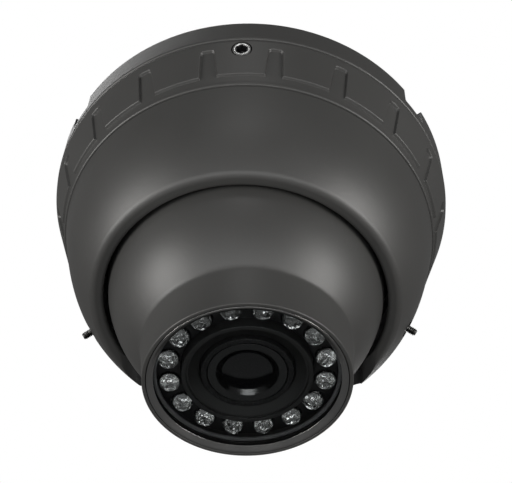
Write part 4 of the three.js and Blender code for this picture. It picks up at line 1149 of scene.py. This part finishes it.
class TURRET_OT_stage(bpy.types.Operator):
    """Set the pale floor, the lights and the view from below"""
    bl_idname = "turret.stage"
    bl_label = "Stage"

    def execute(self, context):
        values = context.scene.turret.stage
        half, drop = 6.0, -2.5
        corners = np.array([[-half, -half, drop], [half, -half, drop],
                            [half, half, drop], [-half, half, drop]])
        floor = mesh_object("stage_floor", corners, np.array([[0, 1, 2, 3]]), np.zeros((0, 3), int))
        if floor.data.polygons[0].normal.z < 0:
            floor.data.flip_normals()
        floor.data.materials.append(stage_surface((0.85, 0.85, 0.85)))
        floor.visible_diffuse = False
        floor.visible_glossy = False
        floor.visible_transmission = False
        self.view(context, values)
        self.surroundings(context, values)
        context.scene.view_settings.view_transform = "Standard"
        middle = Vector((0, 0, -0.035))
        for name, place, size, power, colour in (
            ("side_left", (-0.52, -0.20, -0.22), 0.36, values.key, (1.0, 0.985, 0.96)),
            ("side_right", (0.52, -0.20, -0.22), 0.36, values.key, (1.0, 0.985, 0.96)),
            ("front", (0.0, -0.42, -0.43), 0.28, values.front, (1.0, 1.0, 1.0)),
            ("upper_front", (0.0, -0.57, 0.2), 0.14, values.front * 0.1, (1.0, 1.0, 1.0)),
            ("back", (0.1, 0.56, 0.12), 0.3, values.front * 0.6, (1.0, 1.0, 1.0)),
            ("top", (-0.15, 0.1, 0.6), 0.4, values.front, (1.0, 1.0, 1.0)),
        ):
            light = bpy.data.lights.new(name, "AREA")
            wide = name == "front"
            light.shape = "ELLIPSE" if wide else "DISK"
            light.size = size * FRONT_LIGHT_STRETCH if wide else size
            light.size_y = size
            light.energy = power
            light.color = colour
            lamp = bpy.data.objects.new(name, light)
            lamp.location = place
            lamp.rotation_euler = (middle - lamp.location).to_track_quat("-Z", "Y").to_euler()
            context.scene.collection.objects.link(lamp)
        return {"FINISHED"}

    @staticmethod
    def view(context, values):
        """The view from below: raised, rolled and turned about Z, at a place in front of the object."""
        rise, roll, turn = math.radians(55.16), math.radians(2.86), math.radians(4.5)
        forward = Vector((0, math.cos(rise), math.sin(rise)))
        right = Vector((1, 0, 0))
        down = Vector((0, math.sin(rise), -math.cos(rise)))
        rolled_right = right * math.cos(roll) - down * math.sin(roll)
        rolled_down = right * math.sin(roll) + down * math.cos(roll)
        about = Matrix.Rotation(turn, 3, "Z")
        axes = Matrix((about @ rolled_right, -(about @ rolled_down), -(about @ forward)))
        lens = bpy.data.cameras.new("view")
        lens.lens = values.focal
        lens.sensor_width = 36
        lens.sensor_fit = "HORIZONTAL"
        lens.clip_start = 0.01
        eye = bpy.data.objects.new("view", lens)
        context.scene.collection.objects.link(eye)
        eye.matrix_world = Matrix.Translation((0.0152, -0.1724, -0.2674)) @ axes.transposed().to_4x4()
        context.scene.camera = eye

    @staticmethod
    def surroundings(context, values):
        """White where it is seen, and a softer fill where it lights."""
        world = bpy.data.worlds.new("studio")
        context.scene.world = world
        world.use_nodes = True
        tree = world.node_tree
        tree.nodes.clear()
        seen = tree.nodes.new("ShaderNodeLightPath")
        white = tree.nodes.new("ShaderNodeBackground")
        fill = tree.nodes.new("ShaderNodeBackground")
        fill.inputs["Strength"].default_value = values.fill
        both = tree.nodes.new("ShaderNodeMixShader")
        end = tree.nodes.new("ShaderNodeOutputWorld")
        white.inputs["Color"].default_value = (1, 1, 1, 1)
        fill.inputs["Color"].default_value = (1, 1, 1, 1)
        tree.links.new(seen.outputs["Is Camera Ray"], both.inputs[0])
        tree.links.new(fill.outputs[0], both.inputs[1])
        tree.links.new(white.outputs[0], both.inputs[2])
        tree.links.new(both.outputs[0], end.inputs["Surface"])


class TURRET_PT_build(bpy.types.Panel):
    """The camera's settings and its builders"""
    bl_idname = "TURRET_PT_build"
    bl_label = "Ball turret camera"
    bl_space_type = "VIEW_3D"
    bl_region_type = "UI"
    bl_category = "Camera"

    def draw(self, context):
        settings = context.scene.turret
        for title, group in (("Casings", settings.casing), ("Ball", settings.ball), ("Lamps", settings.lamps),
                             ("Finish", settings.finish), ("Stage", settings.stage)):
            box = self.layout.box()
            box.label(text=title)
            for name in group.__annotations__:
                box.prop(group, name)
        for builder in BUILDERS:
            self.layout.operator(builder.bl_idname)


SETTINGS = (CasingSizes, BallSizes, LampSizes, FinishValues, StageValues, TurretSettings)
BUILDERS = (
    TURRET_OT_finishes, TURRET_OT_base, TURRET_OT_grip_ring, TURRET_OT_shell, TURRET_OT_ball,
    TURRET_OT_lamps, TURRET_OT_lens, TURRET_OT_stage,
)


def register():
    """Registers the settings, the builders and the panel."""
    for made in (*SETTINGS, *BUILDERS, TURRET_PT_build):
        bpy.utils.register_class(made)
    bpy.types.Scene.turret = PointerProperty(type=TurretSettings)


def unregister():
    """Takes them away again."""
    del bpy.types.Scene.turret
    for made in reversed((*SETTINGS, *BUILDERS, TURRET_PT_build)):
        bpy.utils.unregister_class(made)


def main():
    """Builds everything in order."""
    register()
    bpy.ops.turret.finishes()
    bpy.ops.turret.base()
    bpy.ops.turret.grip_ring()
    bpy.ops.turret.shell()
    bpy.ops.turret.ball()
    bpy.ops.turret.lamps()
    bpy.ops.turret.lens()
    bpy.ops.turret.stage()


if __name__ == "__main__":
    main()
